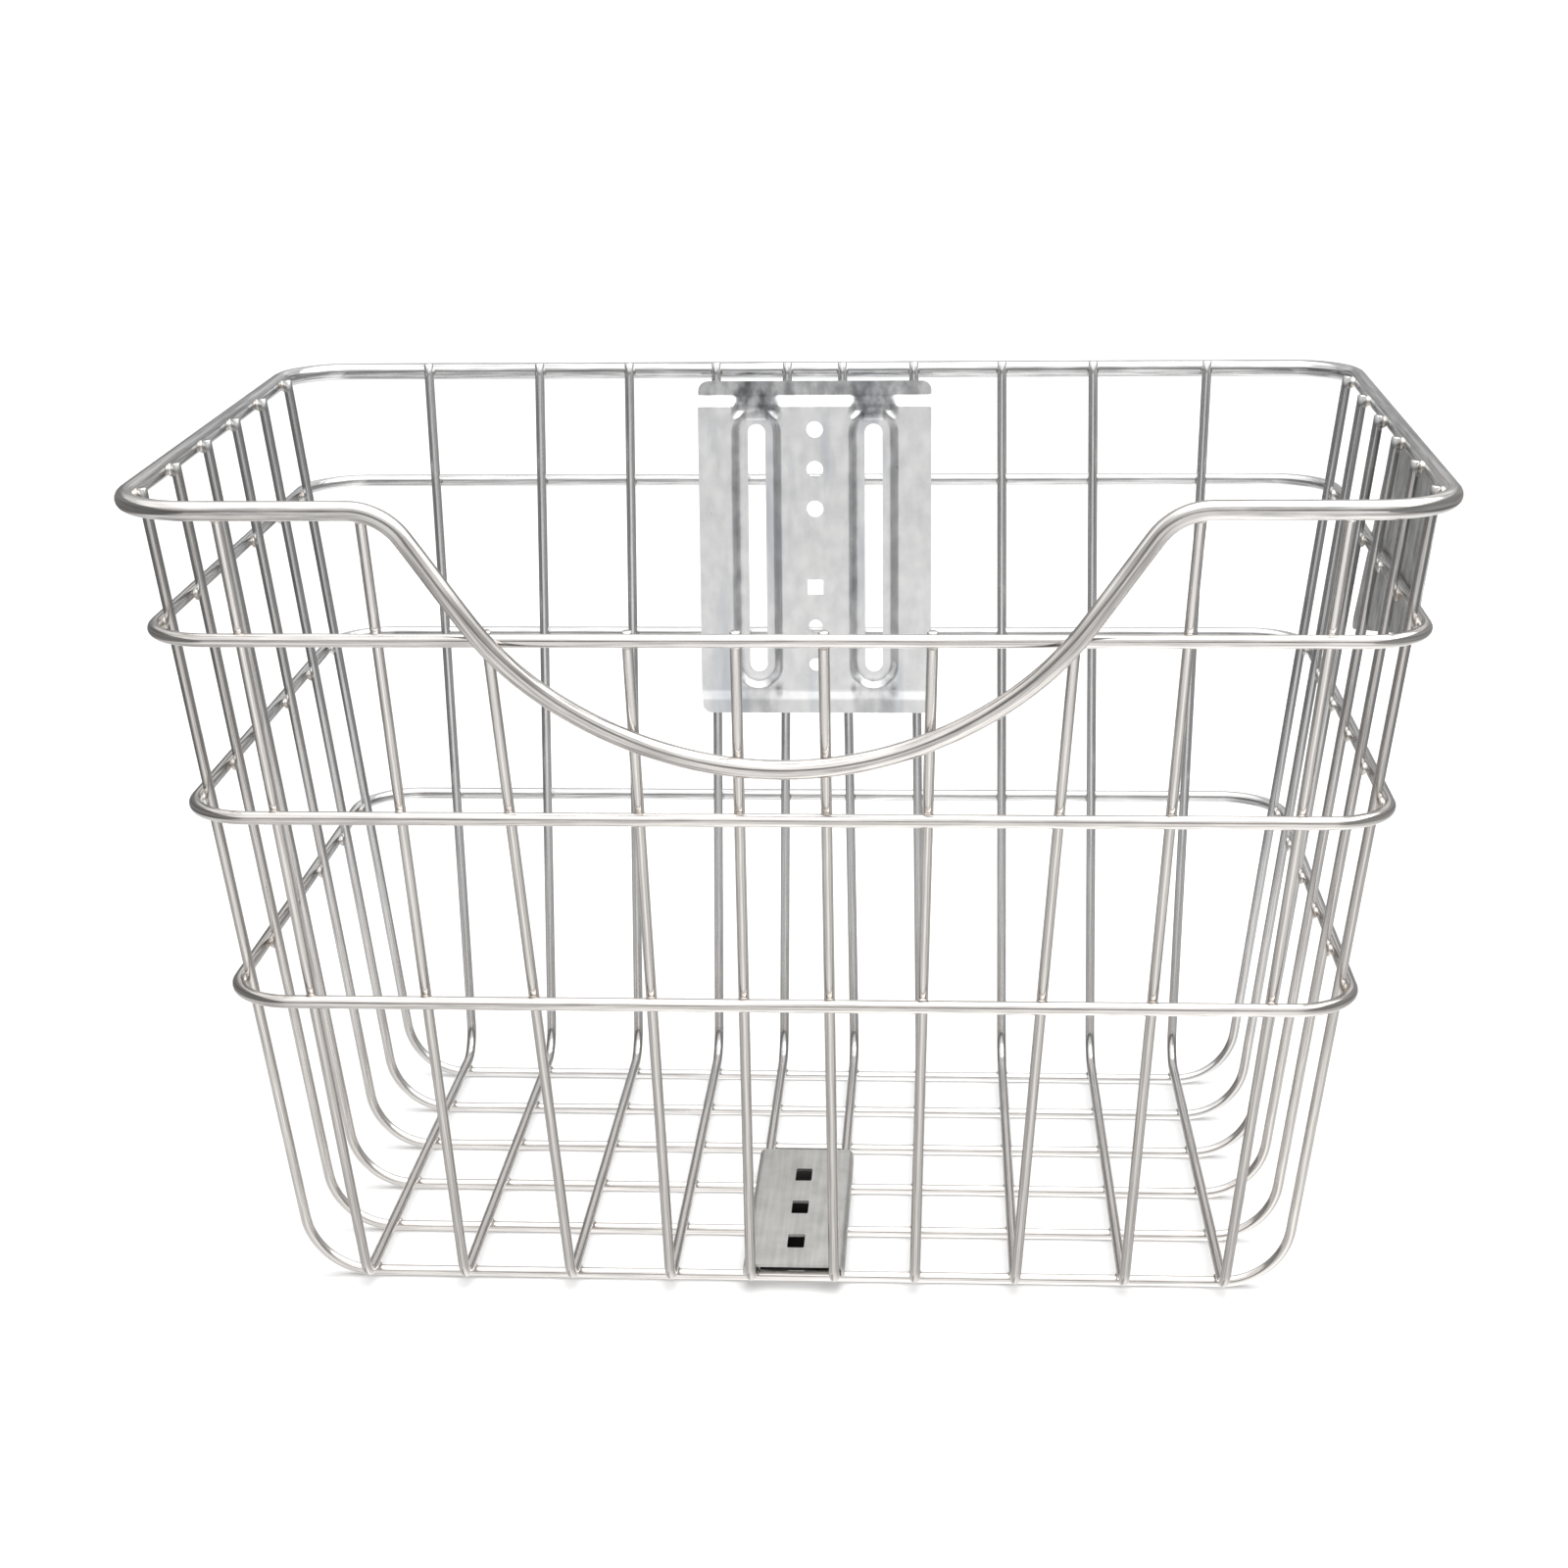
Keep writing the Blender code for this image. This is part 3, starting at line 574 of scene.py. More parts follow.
def tube(name, path, diameter, material, closed=False):
    """Round wire along a path, with U once round it and V along it in metres."""
    path = [point + shift for point in path]
    ahead, across = frames_along(path, closed)
    radii = [diameter / 2] * len(path)
    if not closed:
        path = [path[0], path[0] + ahead[0] * WIRE_END_BEVEL, *path[1:-1],
                path[-1] - ahead[-1] * WIRE_END_BEVEL, path[-1]]
        ahead = [ahead[0], *ahead, ahead[-1]]
        across = [across[0], *across, across[-1]]
        radii = [radii[0] - WIRE_END_BEVEL, *radii, radii[0] - WIRE_END_BEVEL]

    vertices = []
    for point, along, direction, radius in zip(path, ahead, across, radii):
        other = along.cross(direction)
        for side in range(WIRE_SIDES):
            angle = 2 * pi * side / WIRE_SIDES
            outwards = direction * cos(angle) + other * sin(angle)
            vertices.append(point + outwards * radius)
    runs = [0.0]
    for start, end in zip(path, path[1:] + path[:1]):
        runs.append(runs[-1] + (end - start).length)

    faces = []
    uvs = []
    for row in range(len(path) - 1 + closed):
        near = row * WIRE_SIDES
        far = (row + 1) % len(path) * WIRE_SIDES
        run, next_run = runs[row:row + 2]
        for side in range(WIRE_SIDES):
            following = (side + 1) % WIRE_SIDES
            faces.append((near + side, near + following, far + following, far + side))
            left = side / WIRE_SIDES
            right = (side + 1) / WIRE_SIDES
            uvs += [(left, run), (right, run), (right, next_run), (left, next_run)]
    if not closed:
        last = (len(path) - 1) * WIRE_SIDES
        faces.append(tuple(reversed(range(WIRE_SIDES))))
        faces.append(tuple(range(last, last + WIRE_SIDES)))
        for run in (runs[0], runs[len(path) - 1]):
            uvs += [(side / WIRE_SIDES, run) for side in range(WIRE_SIDES)]

    mesh = bpy.data.meshes.new(name)
    mesh.from_pydata(vertices, [], faces)
    layer = mesh.uv_layers.new(name="run")
    for corner, uv in zip(layer.data, uvs):
        corner.uv = uv
    heat = mesh.attributes.new("heat", "FLOAT", "POINT")
    for vertex, value in zip(mesh.vertices, heat.data):
        distance = weld_places.find(vertex.co)[2]
        value.value = max(0.0, 1.0 - distance / HEAT_REACH) ** 2
    if not closed:
        for index in (*range(WIRE_SIDES), *range(len(vertices) - WIRE_SIDES, len(vertices))):
            heat.data[index].value = 1.0
    mesh.shade_smooth()
    return finished(f"{name}_looks", mesh, material, name)


def nuggets(name, welds, material):
    """All the nuggets of one wire as one piece."""
    shape = bmesh.new()
    for weld in welds:
        across = weld.outwards.cross(weld.along)
        turn = Matrix((weld.along, across, weld.outwards)).transposed()
        place = Matrix.Translation(weld.place + shift) @ turn.to_4x4()
        squash = Matrix.Diagonal((*weld.size, 1))
        bmesh.ops.create_icosphere(shape, subdivisions=2, radius=1.0, matrix=place @ squash)
    bmesh.ops.recalc_face_normals(shape, faces=shape.faces)
    mesh = bpy.data.meshes.new(name)
    shape.to_mesh(mesh)
    shape.free()
    mesh.shade_smooth()
    return finished(name, mesh, material)


# Sheets: a flat blank with holes, then bent

def inside(point, loop):
    """Whether a flat point lies within a closed loop."""
    crossings = 0
    for start, end in zip(loop, loop[1:] + loop[:1]):
        if (start.y > point.y) != (end.y > point.y):
            reach = start.x + (end.x - start.x) * (point.y - start.y) / (end.y - start.y)
            crossings += point.x < reach
    return crossings % 2 == 1


def flat_loop(corners, radii):
    """Closed flat loop with rounded corners, in stretches no longer than HOLE_STEP times two."""
    path = rounded([Vector((*corner, 0)) for corner in corners], radii)
    return [point.to_2d() for point in divided(path, 2 * HOLE_STEP, True)]


def oblong_loop(centre, radius, length):
    """Oblong hole with round ends, or a round hole of length 0."""
    count = max(12, round(pi * radius / HOLE_STEP))
    loop = []
    for end, start in ((1, 0.0), (-1, pi)):
        for place in range(count + (length > 0)):
            angle = start + pi * place / count
            y = centre[1] + end * length / 2 + radius * sin(angle)
            loop.append(Vector((centre[0] + radius * cos(angle), y, 0)))
    return [point.to_2d() for point in divided(loop, 2 * HOLE_STEP, True)]


def rectangle(half_width, low, high, radius):
    """Closed flat rectangle with rounded corners, on the middle line of a blank."""
    left = -half_width
    corners = ((half_width, high), (left, high), (left, low), (half_width, low))
    return flat_loop(corners, (radius,) * 4)


def blank(outline, holes, points):
    """Flat triangles inside the outline and outside the holes, through these points too."""
    loops = [outline, *holes]
    rims = [point for loop in loops for point in loop]
    flat = list(rims)
    edges = []
    for loop in loops:
        first = len(edges)
        edges += [(first + place, first + (place + 1) % len(loop)) for place in range(len(loop))]

    def on_sheet(point):
        return inside(point, outline) and not any(inside(point, hole) for hole in holes)

    for point in points:
        if on_sheet(point) and min((point - rim).length for rim in rims) > HOLE_CLEARANCE:
            flat.append(point)
    places, _, triangles, *_ = geometry.delaunay_2d_cdt(flat, edges, [], 1, 1e-7)
    kept = []
    for triangle in triangles:
        if on_sheet((places[triangle[0]] + places[triangle[1]] + places[triangle[2]]) / 3):
            kept.append(triangle)
    return places, kept


def pressed(name, flat_blank, surface, thickness, material, painted_shade=None):
    """Sheet of a flat blank whose surface gives the place of each point of its outer side.

    The last argument gives, from 0 to 1, the painted shade at each place on the blank.
    """
    places, triangles = flat_blank
    outer = []
    inner = []
    for place in places:
        point = surface(place.x, place.y)
        across = surface(place.x + SLOPE_STEP, place.y) - point
        along = surface(place.x, place.y + SLOPE_STEP) - point
        outer.append(point + shift)
        inner.append(point - across.cross(along).normalized() * thickness + shift)
    count = len(places)
    faces = [tuple(triangle) for triangle in triangles]
    faces += [tuple(corner + count for corner in reversed(triangle)) for triangle in triangles]
    once = {}
    for triangle in triangles:
        for start, end in zip(triangle, triangle[1:] + triangle[:1]):
            if (end, start) in once:
                del once[(end, start)]
            else:
                once[(start, end)] = True
    faces += [(end, start, start + count, end + count) for start, end in once]

    mesh = bpy.data.meshes.new(name)
    mesh.from_pydata(outer + inner, [], faces)
    layer = mesh.uv_layers.new(name="blank")
    for loop in mesh.loops:
        layer.data[loop.index].uv = places[loop.vertex_index % count]
    if painted_shade:
        painted_shade_layer = mesh.attributes.new("painted_shade", "FLOAT", "POINT")
        for index, value in enumerate(painted_shade_layer.data):
            place = places[index % count]
            value.value = painted_shade(place.x, place.y)
    mesh.shade_smooth()
    thing = finished(f"{name}_looks", mesh, material, name)
    edge = thing.modifiers.new("eased_edges", "BEVEL")
    edge.width = SHEET_BEVEL
    edge.segments = 2
    edge.limit_method = "ANGLE"
    edge.angle_limit = radians(60)
    edge.harden_normals = True
    return thing


def grid_points(low, high, step):
    """Flat points at about this spacing between two corners, every other row shifted."""
    columns = ceil((high[0] - low[0]) / step)
    rows = ceil((high[1] - low[1]) / step)
    points = []
    for row in range(rows + 1):
        for column in range(columns + 1):
            x = low[0] + (column + 0.5 * (row % 2)) * step
            points.append(Vector((x, low[1] + row * step)))
    return points


def smooth_step(value):
    """Rise from 0 to 1 with a rounded foot and head."""
    value = min(1.0, max(0.0, value))
    return value * value * (3 - 2 * value)


def even_step(value, easing=0.2):
    """Rise from 0 to 1 at an even slope, with a short rounded foot and head."""
    value = min(1.0, max(0.0, value))
    slope = 1 / (1 - easing)
    if value < easing:
        return slope * value**2 / (2 * easing)
    if value > 1 - easing:
        return 1 - slope * (1 - value) ** 2 / (2 * easing)
    return slope * (value - easing / 2)


def make_mounting_plate(material):
    """Pressed plate with two slotted channels and a column of holes."""
    lean = atan(END_LEAN)
    up = Vector((0, sin(lean), cos(lean)))
    inwards = Vector((1, 0, 0)).cross(up)
    top = (RIM_HEIGHT - PLATE_TOP_DROP) * hypot(1.0, END_LEAN)
    bottom = top - PLATE_HEIGHT
    seat = GRID_WIRE / 2 + WELD_GAP + PLATE_SHEET
    panel_top = top - PLATE_FLANGE - PLATE_JOGGLE
    panel_bottom = bottom + PLATE_FLANGE + PLATE_JOGGLE
    middle = (panel_top + panel_bottom) / 2
    length = panel_top - panel_bottom - CHANNEL_WIDTH - 2 * CHANNEL_MARGIN
    centres = (-CHANNEL_SPACING / 2, CHANNEL_SPACING / 2)

    def channel_distance(x, y):
        beyond = max(0.0, abs(y - middle) - length / 2)
        return min(hypot(x - centre, beyond) for centre in centres)

    def mouth(x, y):
        across = min(abs(x - centre) for centre in centres) - CHANNEL_WIDTH / 2 + CHANNEL_DEPTH
        beyond = abs(y - middle) - length / 2 - CHANNEL_WIDTH / 4
        return (1 - smooth_step(across / CHANNEL_DEPTH)) * smooth_step(beyond / MOUTH_REACH)

    def surface(x, y):
        edge = min(y - bottom, top - y) - PLATE_FLANGE
        fall = TOP_MOUTH_FALL if y > middle else BOTTOM_MOUTH_FALL
        raised = PLATE_OFFSET * even_step(edge / PLATE_JOGGLE) * (1 - fall * mouth(x, y))
        wall = channel_distance(x, y) - CHANNEL_WIDTH / 2 + CHANNEL_DEPTH
        sunk = CHANNEL_DEPTH * (1 - even_step(wall / CHANNEL_DEPTH))
        height = seat + max(0.0, raised - sunk)
        return Vector((x, FLOOR_HALF_DEPTH, 0)) + up * y + inwards * height

    # Painted shade: the top flange, the channels' left walls more than right ones, and their ends
    def painted_shade(x, y):
        flange = smooth_step((y - panel_top - 0.7 * PLATE_JOGGLE) / (0.4 * PLATE_JOGGLE))
        distance = channel_distance(x, y) - CHANNEL_WIDTH / 2
        wall = max(0.0, 1 - abs(distance + 0.6 * CHANNEL_DEPTH) / (0.8 * CHANNEL_DEPTH))
        near = min(centres, key=lambda centre: abs(x - centre))
        wall *= LEFT_WALL_PAINTED_SHADE if x < near else RIGHT_WALL_PAINTED_SHADE
        end = TOP_MOUTH_PAINTED_SHADE if y > middle else BOTTOM_MOUTH_PAINTED_SHADE
        return min(1.0, max(FLANGE_PAINTED_SHADE * flange, wall) + end * mouth(x, y))

    half = PLATE_WIDTH / 2
    outline = rectangle(half, bottom, top, PLATE_CORNER)
    holes = [oblong_loop((centre, middle), SLOT_WIDTH / 2, length) for centre in centres]
    for rows, diameter in ((HOLE_ROWS, HOLE_DIAMETER), (SMALL_HOLE_ROWS, SMALL_HOLE_DIAMETER)):
        for row in rows:
            y = top - TOP_HOLE_DROP - row * HOLE_PITCH
            holes.append(oblong_loop((0.0, y), diameter / 2, 0.0))
    reach = SQUARE_HOLE / 2
    y = top - TOP_HOLE_DROP - SQUARE_HOLE_ROW * HOLE_PITCH
    holes.append(rectangle(reach, y - reach, y + reach, SQUARE_HOLE_CORNER))

    points = []
    for point in grid_points((-half, bottom), (half, top), SHEET_STEP):
        if channel_distance(point.x, point.y) > CHANNEL_WIDTH / 2 + CHANNEL_POINT_MARGIN:
            points.append(point)
    columns = range(int(PLATE_WIDTH / EDGE_STEP) - 1)
    for start in (bottom + PLATE_FLANGE, panel_top):
        for row in JOGGLE_ROWS:
            y = start + row * JOGGLE_ROW_STEP
            points += [Vector((-half + EDGE_STEP + column * EDGE_STEP, y)) for column in columns]
    for centre in centres:
        for ring in range(1, SLOT_RING_COUNT + 1):
            radius = SLOT_WIDTH / 2 + ring * SLOT_RING_STEP
            points += oblong_loop((centre, middle), radius, length)
    flat = blank(outline, holes, points)
    return pressed("mounting_plate", flat, surface, PLATE_SHEET, material, painted_shade)


def make_floor_plate(material):
    """Shallow inverted channel over the centre pair of wires, with oblong holes."""
    half_width = CENTRE_PAIR_FLOOR + GRID_WIRE / 2 + WELD_GAP + FLOOR_PLATE_SHEET
    bottom = GRID_WIRE + WELD_GAP
    top = LENGTHWISE_Z + GRID_WIRE / 2 + WELD_GAP + FLOOR_PLATE_SHEET
    front = -FLOOR_HALF_DEPTH + FLOOR_PLATE_INSET
    turns = ((-1, bottom), (-1, top), (1, top), (1, bottom))
    corners = [Vector((side * half_width, 0, z)) for side, z in turns]
    section = rounded(corners, (0, FLOOR_PLATE_BEND, FLOOR_PLATE_BEND, 0))
    runs = [0.0]
    for start, end in zip(section, section[1:]):
        runs.append(runs[-1] + (end - start).length)
    half_run = runs[-1] / 2

    def surface(x, y):
        run = min(runs[-1], max(0.0, x + half_run))
        index = max(place for place in range(len(section) - 1) if runs[place] <= run)
        share = (run - runs[index]) / (runs[index + 1] - runs[index])
        return section[index].lerp(section[index + 1], share) + Vector((0, y, 0))

    back = front + FLOOR_PLATE_LENGTH
    outline = rectangle(half_run, front, back, FLOOR_PLATE_CORNER)
    holes = []
    reach = FLOOR_HOLE_LENGTH / 2
    for number in range(FLOOR_HOLE_COUNT):
        y = front + FLOOR_HOLE_FIRST + number * FLOOR_HOLE_PITCH
        holes.append(rectangle(FLOOR_HOLE_WIDTH / 2, y - reach, y + reach, FLOOR_HOLE_CORNER))
    points = grid_points((-half_run, front), (half_run, back), SHEET_STEP)
    rows = range(int(FLOOR_PLATE_LENGTH / FLOOR_BEND_STEP))
    for side in (-1, 1):
        for run in runs[1:len(section) // 2]:
            x = side * (half_run - run)
            points += [Vector((x, front + EDGE_STEP + row * FLOOR_BEND_STEP)) for row in rows]
    flat = blank(outline, holes, points)
    return pressed("floor_plate", flat, surface, FLOOR_PLATE_SHEET, material)


def make_side_plate(material):
    """Blank sheet on the outside of the upper ring, in the front half of the right wall."""
    backwards = Vector((-taper(RIM_HEIGHT), 1, 0)).normalized()
    up = Vector((SIDE_LEAN, 0, 1))
    up = (up - backwards * up.dot(backwards)).normalized()
    outwards = backwards.cross(up)
    front = -end_y(RIM_HEIGHT)
    corner = Vector((side_x(front, RIM_HEIGHT), front, RIM_HEIGHT))
    top = -RIM_WIRE / 2 - WELD_GAP - SIDE_SHEET / 2
    outer = RING_OUT + RING_WIRE / 2 + WELD_GAP + SIDE_SHEET

    def surface(x, y):
        return corner + backwards * x + up * y + outwards * outer

    near = SIDE_PLATE_INSET
    far = near + SIDE_PLATE_BOTTOM
    bottom = top - SIDE_PLATE_BACK
    end = near + SIDE_PLATE_TOP
    corners = ((near, top), (near, top - SIDE_PLATE_FRONT), (far, bottom), (end, top))
    outline = flat_loop(corners, (SIDE_PLATE_CORNER,) * 4)
    flat = blank(outline, [], grid_points((near, bottom), (far, top), 2 * SHEET_STEP))
    return pressed("side_plate", flat, surface, SIDE_SHEET, material)


# Materials

def new_material(name):
    """Material with its node tree and its shader."""
    material = bpy.data.materials.new(name)
    material.use_nodes = True
    return material, material.node_tree, material.node_tree.nodes["Principled BSDF"]


def fill(node, inputs):
    """Node with each of these inputs set to a value, or linked to an output."""
    for name, value in inputs.items():
        if isinstance(value, bpy.types.NodeSocket):
            node.id_data.links.new(value, node.inputs[name])
        else:
            node.inputs[name].default_value = value
    return node


def maths(operation, first, second=0.0):
    """Arithmetic on an output and a second one or a number."""
    node = first.id_data.nodes.new("ShaderNodeMath")
    node.operation = operation
    return fill(node, {0: first, 1: second}).outputs[0]


def vector_maths(operation, first, name, second):
    """Arithmetic on an output and a second one, which goes into the input of this name."""
    node = first.id_data.nodes.new("ShaderNodeVectorMath")
    node.operation = operation
    return fill(node, {0: first, name: second}).outputs["Vector"]


def shared(first, second, share):
    """Sum of this share of the first output and the rest of the second."""
    kept = maths("MULTIPLY", first, share)
    return maths("ADD", kept, maths("MULTIPLY", second, 1 - share))


def ranged(value, low, high, to_low=0.0, to_high=1.0):
    """Output carried from one range to another, and held within it."""
    node = value.id_data.nodes.new("ShaderNodeMapRange")
    ends = {"From Min": low, "From Max": high, "To Min": to_low, "To Max": to_high}
    return fill(node, {"Value": value, **ends}).outputs["Result"]


def split(vector):
    """X, Y and Z of an output."""
    return fill(vector.id_data.nodes.new("ShaderNodeSeparateXYZ"), {"Vector": vector}).outputs


def object_place(tree):
    """Place in the object's own frame."""
    return tree.nodes.new("ShaderNodeTexCoord").outputs["Object"]


def uv_place(tree, name):
    """Place on the flat map of this name."""
    node = tree.nodes.new("ShaderNodeUVMap")
    node.uv_map = name
    return node.outputs["UV"]


def stretched(place, stretch):
    """Place scaled along each axis."""
    node = place.id_data.nodes.new("ShaderNodeMapping")
    return fill(node, {"Vector": place, "Scale": stretch}).outputs["Vector"]


def attribute(tree, name):
    """Value kept at each point of a mesh."""
    node = tree.nodes.new("ShaderNodeAttribute")
    node.attribute_name = name
    return node.outputs["Fac"]


def noise(place, scale, detail):
    """Smooth noise."""
    node = place.id_data.nodes.new("ShaderNodeTexNoise")
    return fill(node, {"Vector": place, "Scale": scale, "Detail": detail}).outputs["Fac"]


def blank_noise(tree, stretch, scale, detail):
    """Smooth noise on the blank of a sheet, stretched across and along it."""
    place = stretched(uv_place(tree, "blank"), (*stretch, 1.0))
    return noise(place, scale, detail)


def blended(share, first, second):
    """Colour between two, each a colour or an output."""
    tree = share.id_data
    node = tree.nodes.new("ShaderNodeMix")
    node.data_type = "RGBA"
    tree.links.new(share, node.inputs["Factor"])
    for name, value in (("A", first), ("B", second)):
        socket = next(item for item in node.inputs if item.name == name and item.type == "RGBA")
        if isinstance(value, tuple):
            socket.default_value = (*value, 1.0)
        else:
            tree.links.new(value, socket)
    return next(item for item in node.outputs if item.type == "RGBA")


def bump(shader, height, strength, distance):
    """Fine relief."""
    node = shader.id_data.nodes.new("ShaderNodeBump")
    fill(node, {"Height": height, "Strength": strength, "Distance": distance})
    fill(shader, {"Normal": node.outputs["Normal"]})


def coat(shader, colour, roughness):
    """Metal of this colour and roughness."""
    fill(shader, {"Base Color": colour, "Roughness": roughness, "Metallic": 1.0})


def drawn_wire(name, light, dark, tint, roughness, painted_light_by_height):
    """Drawn stainless wire: lengthwise streaks, warmer in front, a heat mark at each weld."""
    material, tree, shader = new_material(name)
    around, along, _ = split(uv_place(tree, "run"))
    angle = maths("MULTIPLY", around, 2 * pi)
    run = maths("MULTIPLY", along, WIRE_RUN_SCALE)
    join = tree.nodes.new("ShaderNodeCombineXYZ")
    fill(join, {"X": maths("COSINE", angle), "Y": maths("SINE", angle), "Z": run})
    place = join.outputs["Vector"]
    lines = noise(stretched(place, (1.0, 1.0, LINE_STRETCH)), *LINE_NOISE)
    streaks = noise(place, *STREAK_NOISE)
    patches = noise(place, *PATCH_NOISE)
    blotches = noise(place, *BLOTCH_NOISE)
    grain = shared(lines, streaks, LINE_SHARE)
    metal = blended(ranged(grain, *GRAIN_SPAN), (dark,) * 3, (light,) * 3)

    _, depth, height = split(object_place(tree))
    cool_depth = maths("MULTIPLY", depth, COOL_PER_DEPTH)
    cool_height = maths("MULTIPLY", height, COOL_PER_HEIGHT)
    coolness = maths("ADD", cool_depth, cool_height)
    coolness = maths("ADD", coolness, maths("SUBTRACT", blotches, 0.5))
    tone = blended(ranged(coolness, *COOL_SPAN), WARM_TONE, COOL_TONE)
    toned = vector_maths("MULTIPLY", metal, 1, tone)
    # Painted light and shade by height: the floor lighter or darker than the walls
    pale = ranged(height, 0.0, RIM_HEIGHT, *painted_light_by_height)
    painted_light_colour = vector_maths("SCALE", toned, "Scale", pale)

    mark = ranged(patches, *PATCH_SPAN, *MARK_STRENGTHS)
    mark = maths("MULTIPLY", attribute(tree, "heat"), mark)
    colour = blended(mark, painted_light_colour, tint)
    dullness = ranged(patches, *PATCH_SPAN, *roughness)
    dullness = maths("ADD", dullness, maths("MULTIPLY", mark, HEAT_DULLNESS))
    coat(shader, colour, dullness)
    bump(shader, maths("ADD", grain, patches), *WIRE_RELIEF)
    return material


def weld_metal():
    """Fused steel of the weld nuggets: bright, with duller patches."""
    material, tree, shader = new_material("weld_nuggets")
    patches = noise(object_place(tree), *WELD_NOISE)
    colour = blended(ranged(patches, *WELD_SPAN), *WELD_SHADES)
    coat(shader, colour, ranged(patches, *PATCH_SPAN, *WELD_ROUGHNESS))
    bump(shader, patches, *WELD_RELIEF)
    return material


def zinc_metal():
    """Zinc-plated sheet: grey mottle, bluish runs, and painted shade on the flange and channels.
    """
    material, tree, shader = new_material("zinc_plated_sheet_looks")
    mottle = blank_noise(tree, *ZINC_MOTTLE)
    runs = blank_noise(tree, *ZINC_RUNS)
    brushing = blank_noise(tree, *ZINC_BRUSHING)
    plated = blended(ranged(mottle, *ZINC_MOTTLE_SPAN), *ZINC_SHADES)
    plated = blended(ranged(runs, *ZINC_RUN_SPAN), plated, ZINC_RUN_SHADE)
    # Painted shade on the flange, the channel walls and the channel ends
    painted_shade_share = maths("MULTIPLY", attribute(tree, "painted_shade"), ranged(mottle, *ZINC_PAINTED_SHADE_SPAN))
    colour = blended(painted_shade_share, plated, ZINC_PAINTED_SHADE)
    coat(shader, colour, ranged(mottle, *PATCH_SPAN, *ZINC_ROUGHNESS))
    bump(shader, brushing, *ZINC_RELIEF)
    return material


def plain_metal(name, light, dark, roughness, relief):
    """Plain rolled sheet with soft patches, the lines of its rolling and shallow buckles."""
    material, tree, shader = new_material(name)
    lines = blank_noise(tree, *SHEET_LINES)
    both = shared(blank_noise(tree, *SHEET_PATCHES), lines, 0.5)
    colour = blended(ranged(both, *SHEET_TONE_SPAN), dark, light)
    coat(shader, colour, ranged(both, *SHEET_GLOSS_SPAN, *roughness))
    buckles = blank_noise(tree, *SHEET_BUCKLES)
    height = maths("ADD", maths("MULTIPLY", lines, SHEET_LINE_RELIEF), buckles)
    bump(shader, height, *relief)
    return material


# Stage

def flat_piece(name, corners, material):
    """Flat four-cornered object."""
    mesh = bpy.data.meshes.new(name)
    mesh.from_pydata(corners, [], [(0, 1, 2, 3)])
    return placed(name, mesh, material)


def matt(name, scale, shades, roughness):
    """Material with soft patches between two shades."""
    material, tree, shader = new_material(name)
    patches = noise(object_place(tree), scale, 2.0)
    fill(shader, {"Base Color": blended(patches, *shades), "Roughness": roughness})
    return material


def make_floor():
    """Plain pale floor under the basket."""
    size = FLOOR_SIZE / 2
    corners = [(-size, -size, 0), (size, -size, 0), (size, size, 0), (-size, size, 0)]
    floor = flat_piece("studio_floor", corners, matt("pale_floor", 3.0, FLOOR_TONES, 0.8))
    floor.visible_glossy = False


def make_shade():
    """Dark card on the floor under the floor plate, where the photograph is nearly black."""
    # Painted shade: a near-black card in place of the shadow under the floor plate
    half = CENTRE_PAIR_FLOOR - GRID_WIRE / 2
    front = -FLOOR_HALF_DEPTH + FLOOR_PLATE_INSET + SHADE_INSET
    back = -FLOOR_HALF_DEPTH + FLOOR_PLATE_INSET + FLOOR_PLATE_LENGTH
    corners = [(-half, front), (half, front), (half, back), (-half, back)]
    places = [Vector((*corner, SHADE_LIFT)) + shift for corner in corners]
    shade = flat_piece("floor_shade", places, matt("floor_shade", 900.0, SHADE_TONES, 0.9))


def make_card(name, corners, axis, low, high, lights):
    """Glowing studio card, not seen by the camera, whose light changes along one axis."""
    material, tree, shader = new_material(name)
    light = ranged(split(object_place(tree))[axis], low, high, *lights)
    fill(shader, {"Base Color": (0.0, 0.0, 0.0, 1.0), "Roughness": 1.0})
    fill(shader, {"Emission Color": (1.0, 1.0, 1.0, 1.0), "Emission Strength": light})
    card = flat_piece(name, corners, material)
    card.visible_camera = False
    card.visible_shadow = False
    return card


def ramp(value, stops):
    """Level between stops, each a value from -1 to 1 and its level."""
    highest = max(level for _, level in stops)
    node = value.id_data.nodes.new("ShaderNodeValToRGB")
    elements = node.color_ramp.elements
    for element, (stop, level) in zip(elements, (stops[0], stops[-1])):
        element.position = (stop + 1) / 2
        element.color = (level / highest,) * 3 + (1.0,)
    for stop, level in stops[1:-1]:
        elements.new((stop + 1) / 2).color = (level / highest,) * 3 + (1.0,)
    fill(node, {"Fac": ranged(value, -1.0, 1.0)})
    return maths("MULTIPLY", node.outputs["Color"], highest)


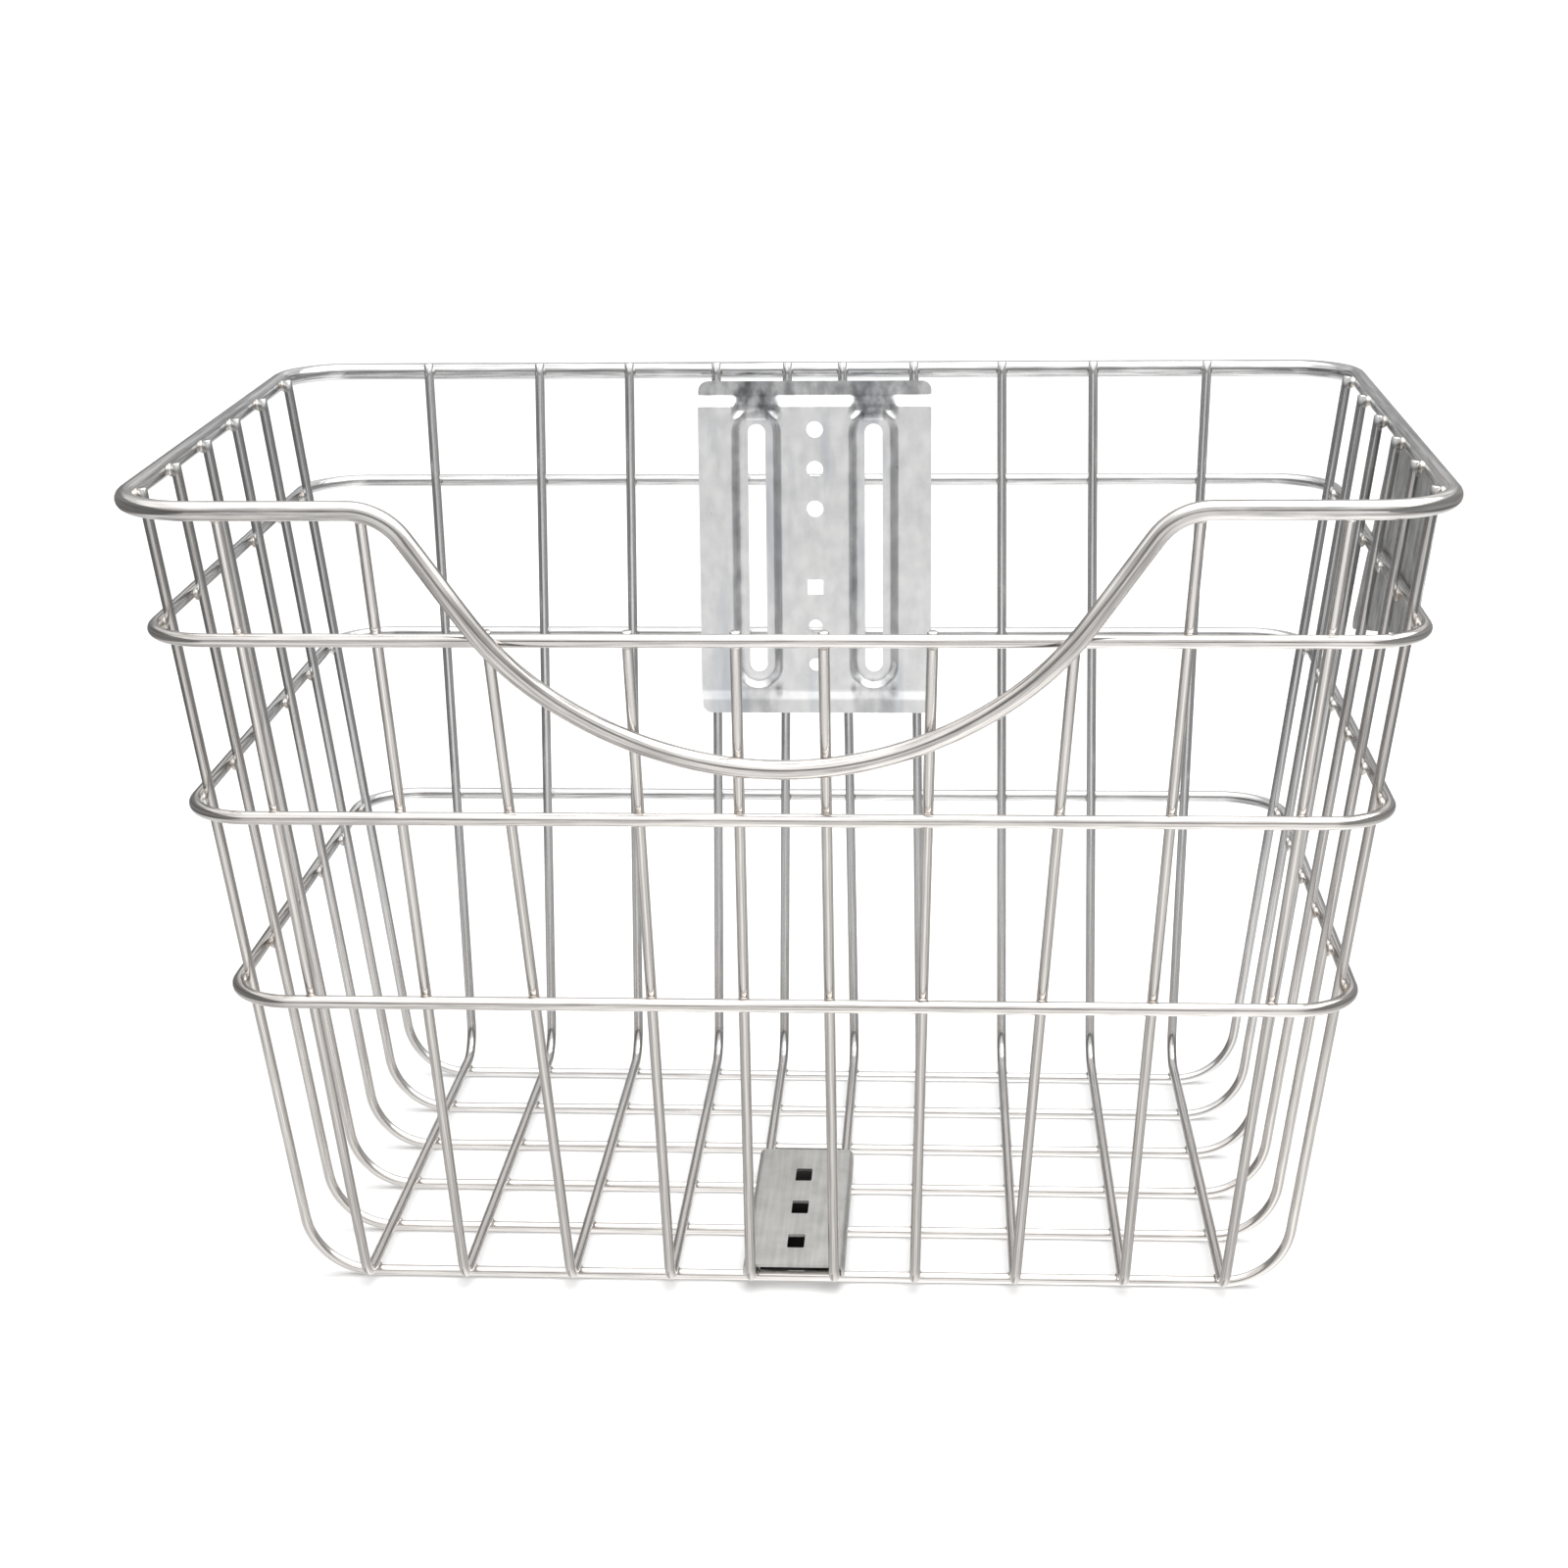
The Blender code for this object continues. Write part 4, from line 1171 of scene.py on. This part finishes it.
def make_light():
    """Pale room, dim near the horizon and to the sides, with cards at the sides and overhead."""
    world = bpy.data.worlds.new("studio")
    world.use_nodes = True
    tree = world.node_tree
    x, y, z = split(tree.nodes.new("ShaderNodeTexCoord").outputs["Generated"])
    front = ramp(z, FRONT_LIGHTS)
    back = ramp(z, BACK_LIGHTS)
    behind = ranged(y, *FRONT_TO_BACK)
    left = ranged(x, *LEFT_LEVELS)
    right = ranged(x, *RIGHT_LEVELS)
    upper = ranged(z, *OVERHEAD)
    sides = maths("MAXIMUM", maths("MULTIPLY", left, right), upper)
    under_left = ranged(x, *UNDER_LEFT_LEVELS)
    not_under = ranged(z, *UNDER)
    sides = maths("MULTIPLY", sides, maths("MAXIMUM", under_left, not_under))
    level = maths("MULTIPLY", blended(behind, front, back), sides)
    seen = tree.nodes.new("ShaderNodeLightPath").outputs["Is Camera Ray"]
    backdrop = blended(seen, level, (BACKDROP_LIGHT,) * 3)
    fill(tree.nodes["Background"], {"Color": backdrop})
    bpy.context.scene.world = world
    bpy.context.scene.view_settings.view_transform = "Standard"

    place = SIDE_CARD_PLACE
    high = SIDE_CARD_HEIGHT
    cards = (("left_card", -place, LEFT_CARD_LIGHT), ("right_card", place, RIGHT_CARD_LIGHT))
    for name, x, light in cards:
        corners = [(x, -1, 0), (x, 1, 0), (x, 1, high), (x, -1, high)]
        lights = (light, light * SIDE_CARD_RISE)
        make_card(name, corners, "Z", 0.0, high, lights).visible_diffuse = False
    high = CEILING_CARD_PLACE
    left, right = CEILING_CARD_X
    front, back = CEILING_CARD_Y
    corners = [(left, front, high), (right, front, high), (right, back, high), (left, back, high)]
    make_card("ceiling_card", corners, "X", *CEILING_CARD_FADE, CEILING_CARD_LIGHTS)


def make_camera():
    """Camera at the photograph's viewing angle."""
    forward = Vector((
        sin(CAMERA_YAW) * cos(CAMERA_PITCH),
        cos(CAMERA_YAW) * cos(CAMERA_PITCH),
        -sin(CAMERA_PITCH),
    ))
    level = Vector((cos(CAMERA_YAW), -sin(CAMERA_YAW), 0.0))
    below = forward.cross(level)
    right = level * cos(CAMERA_ROLL) + below * sin(CAMERA_ROLL)
    down = below * cos(CAMERA_ROLL) - level * sin(CAMERA_ROLL)
    data = bpy.data.cameras.new("photo_camera")
    data.sensor_width = SENSOR_WIDTH
    data.lens = FOCAL_PIXELS * SENSOR_WIDTH / PHOTO_WIDTH
    camera = bpy.data.objects.new("photo_camera", data)
    turn = Matrix((right, -down, -forward)).transposed().to_4x4()
    camera.matrix_world = Matrix.Translation(CAMERA_PLACE) @ turn
    bpy.context.scene.collection.objects.link(camera)
    bpy.context.scene.camera = camera


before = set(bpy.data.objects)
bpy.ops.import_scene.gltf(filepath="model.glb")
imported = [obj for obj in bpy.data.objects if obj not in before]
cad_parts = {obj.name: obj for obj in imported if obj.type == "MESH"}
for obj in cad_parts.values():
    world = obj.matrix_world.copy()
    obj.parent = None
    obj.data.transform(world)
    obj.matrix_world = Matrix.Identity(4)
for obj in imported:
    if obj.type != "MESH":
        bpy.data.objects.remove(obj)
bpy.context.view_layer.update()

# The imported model's frame against the frame of the paths
ring_low, ring_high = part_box("upper_ring")
shift = (ring_low + ring_high) / 2 - Vector((0, 0, UPPER_RING_Z))

all_welds = grid_welds()
weld_places = kdtree.KDTree(sum(len(welds) for welds in all_welds.values()))
for number, weld in enumerate(item for welds in all_welds.values() for item in welds):
    weld_places.insert(weld.place + shift, number)
weld_places.balance()

rim_steel = drawn_wire("bright_wire_looks", *RIM_FINISH)
ring_steel = drawn_wire("ring_wire_looks", *RING_FINISH)
grid_steel = drawn_wire("grid_wire_looks", *LENGTHWISE_FINISH)
side_steel = drawn_wire("side_wire_looks", *CROSSWISE_FINISH)

tube("rim_wire", rim_path(), RIM_WIRE, rim_steel, closed=True)
for ring_name, drop in RING_DROPS.items():
    tube(ring_name, ring_path(RIM_HEIGHT - drop), RING_WIRE, ring_steel, closed=True)
for pair_index in range(len(FLOOR_SPREAD)):
    for side, number in ((-1, pair_index + 1), (1, 2 * len(FLOOR_SPREAD) - pair_index)):
        route = rounded(lengthwise_corners(pair_index, side), (0, FRONT_BEND, BACK_BEND, 0))
        route = divided(route, WIRE_STATION, False)
        tube(f"lengthwise_wire_{number:02d}", route, GRID_WIRE, grid_steel)
for wire_index in range(CROSSWISE_COUNT):
    route = rounded(crosswise_corners(wire_index), (0, CROSSWISE_BEND, CROSSWISE_BEND, 0))
    route = divided(route, WIRE_STATION, False)
    tube(f"crosswise_wire_{wire_index + 1}", route, GRID_WIRE, side_steel)

nugget_steel = weld_metal()
for weld_name, group in all_welds.items():
    nuggets(f"{weld_name}_welds", group, nugget_steel)

make_mounting_plate(zinc_metal())
make_floor_plate(plain_metal("floor_plate_looks", *FLOOR_PLATE_FINISH))
make_side_plate(plain_metal("side_plate_looks", *SIDE_PLATE_FINISH))

make_floor()
make_shade()
make_light()
make_camera()
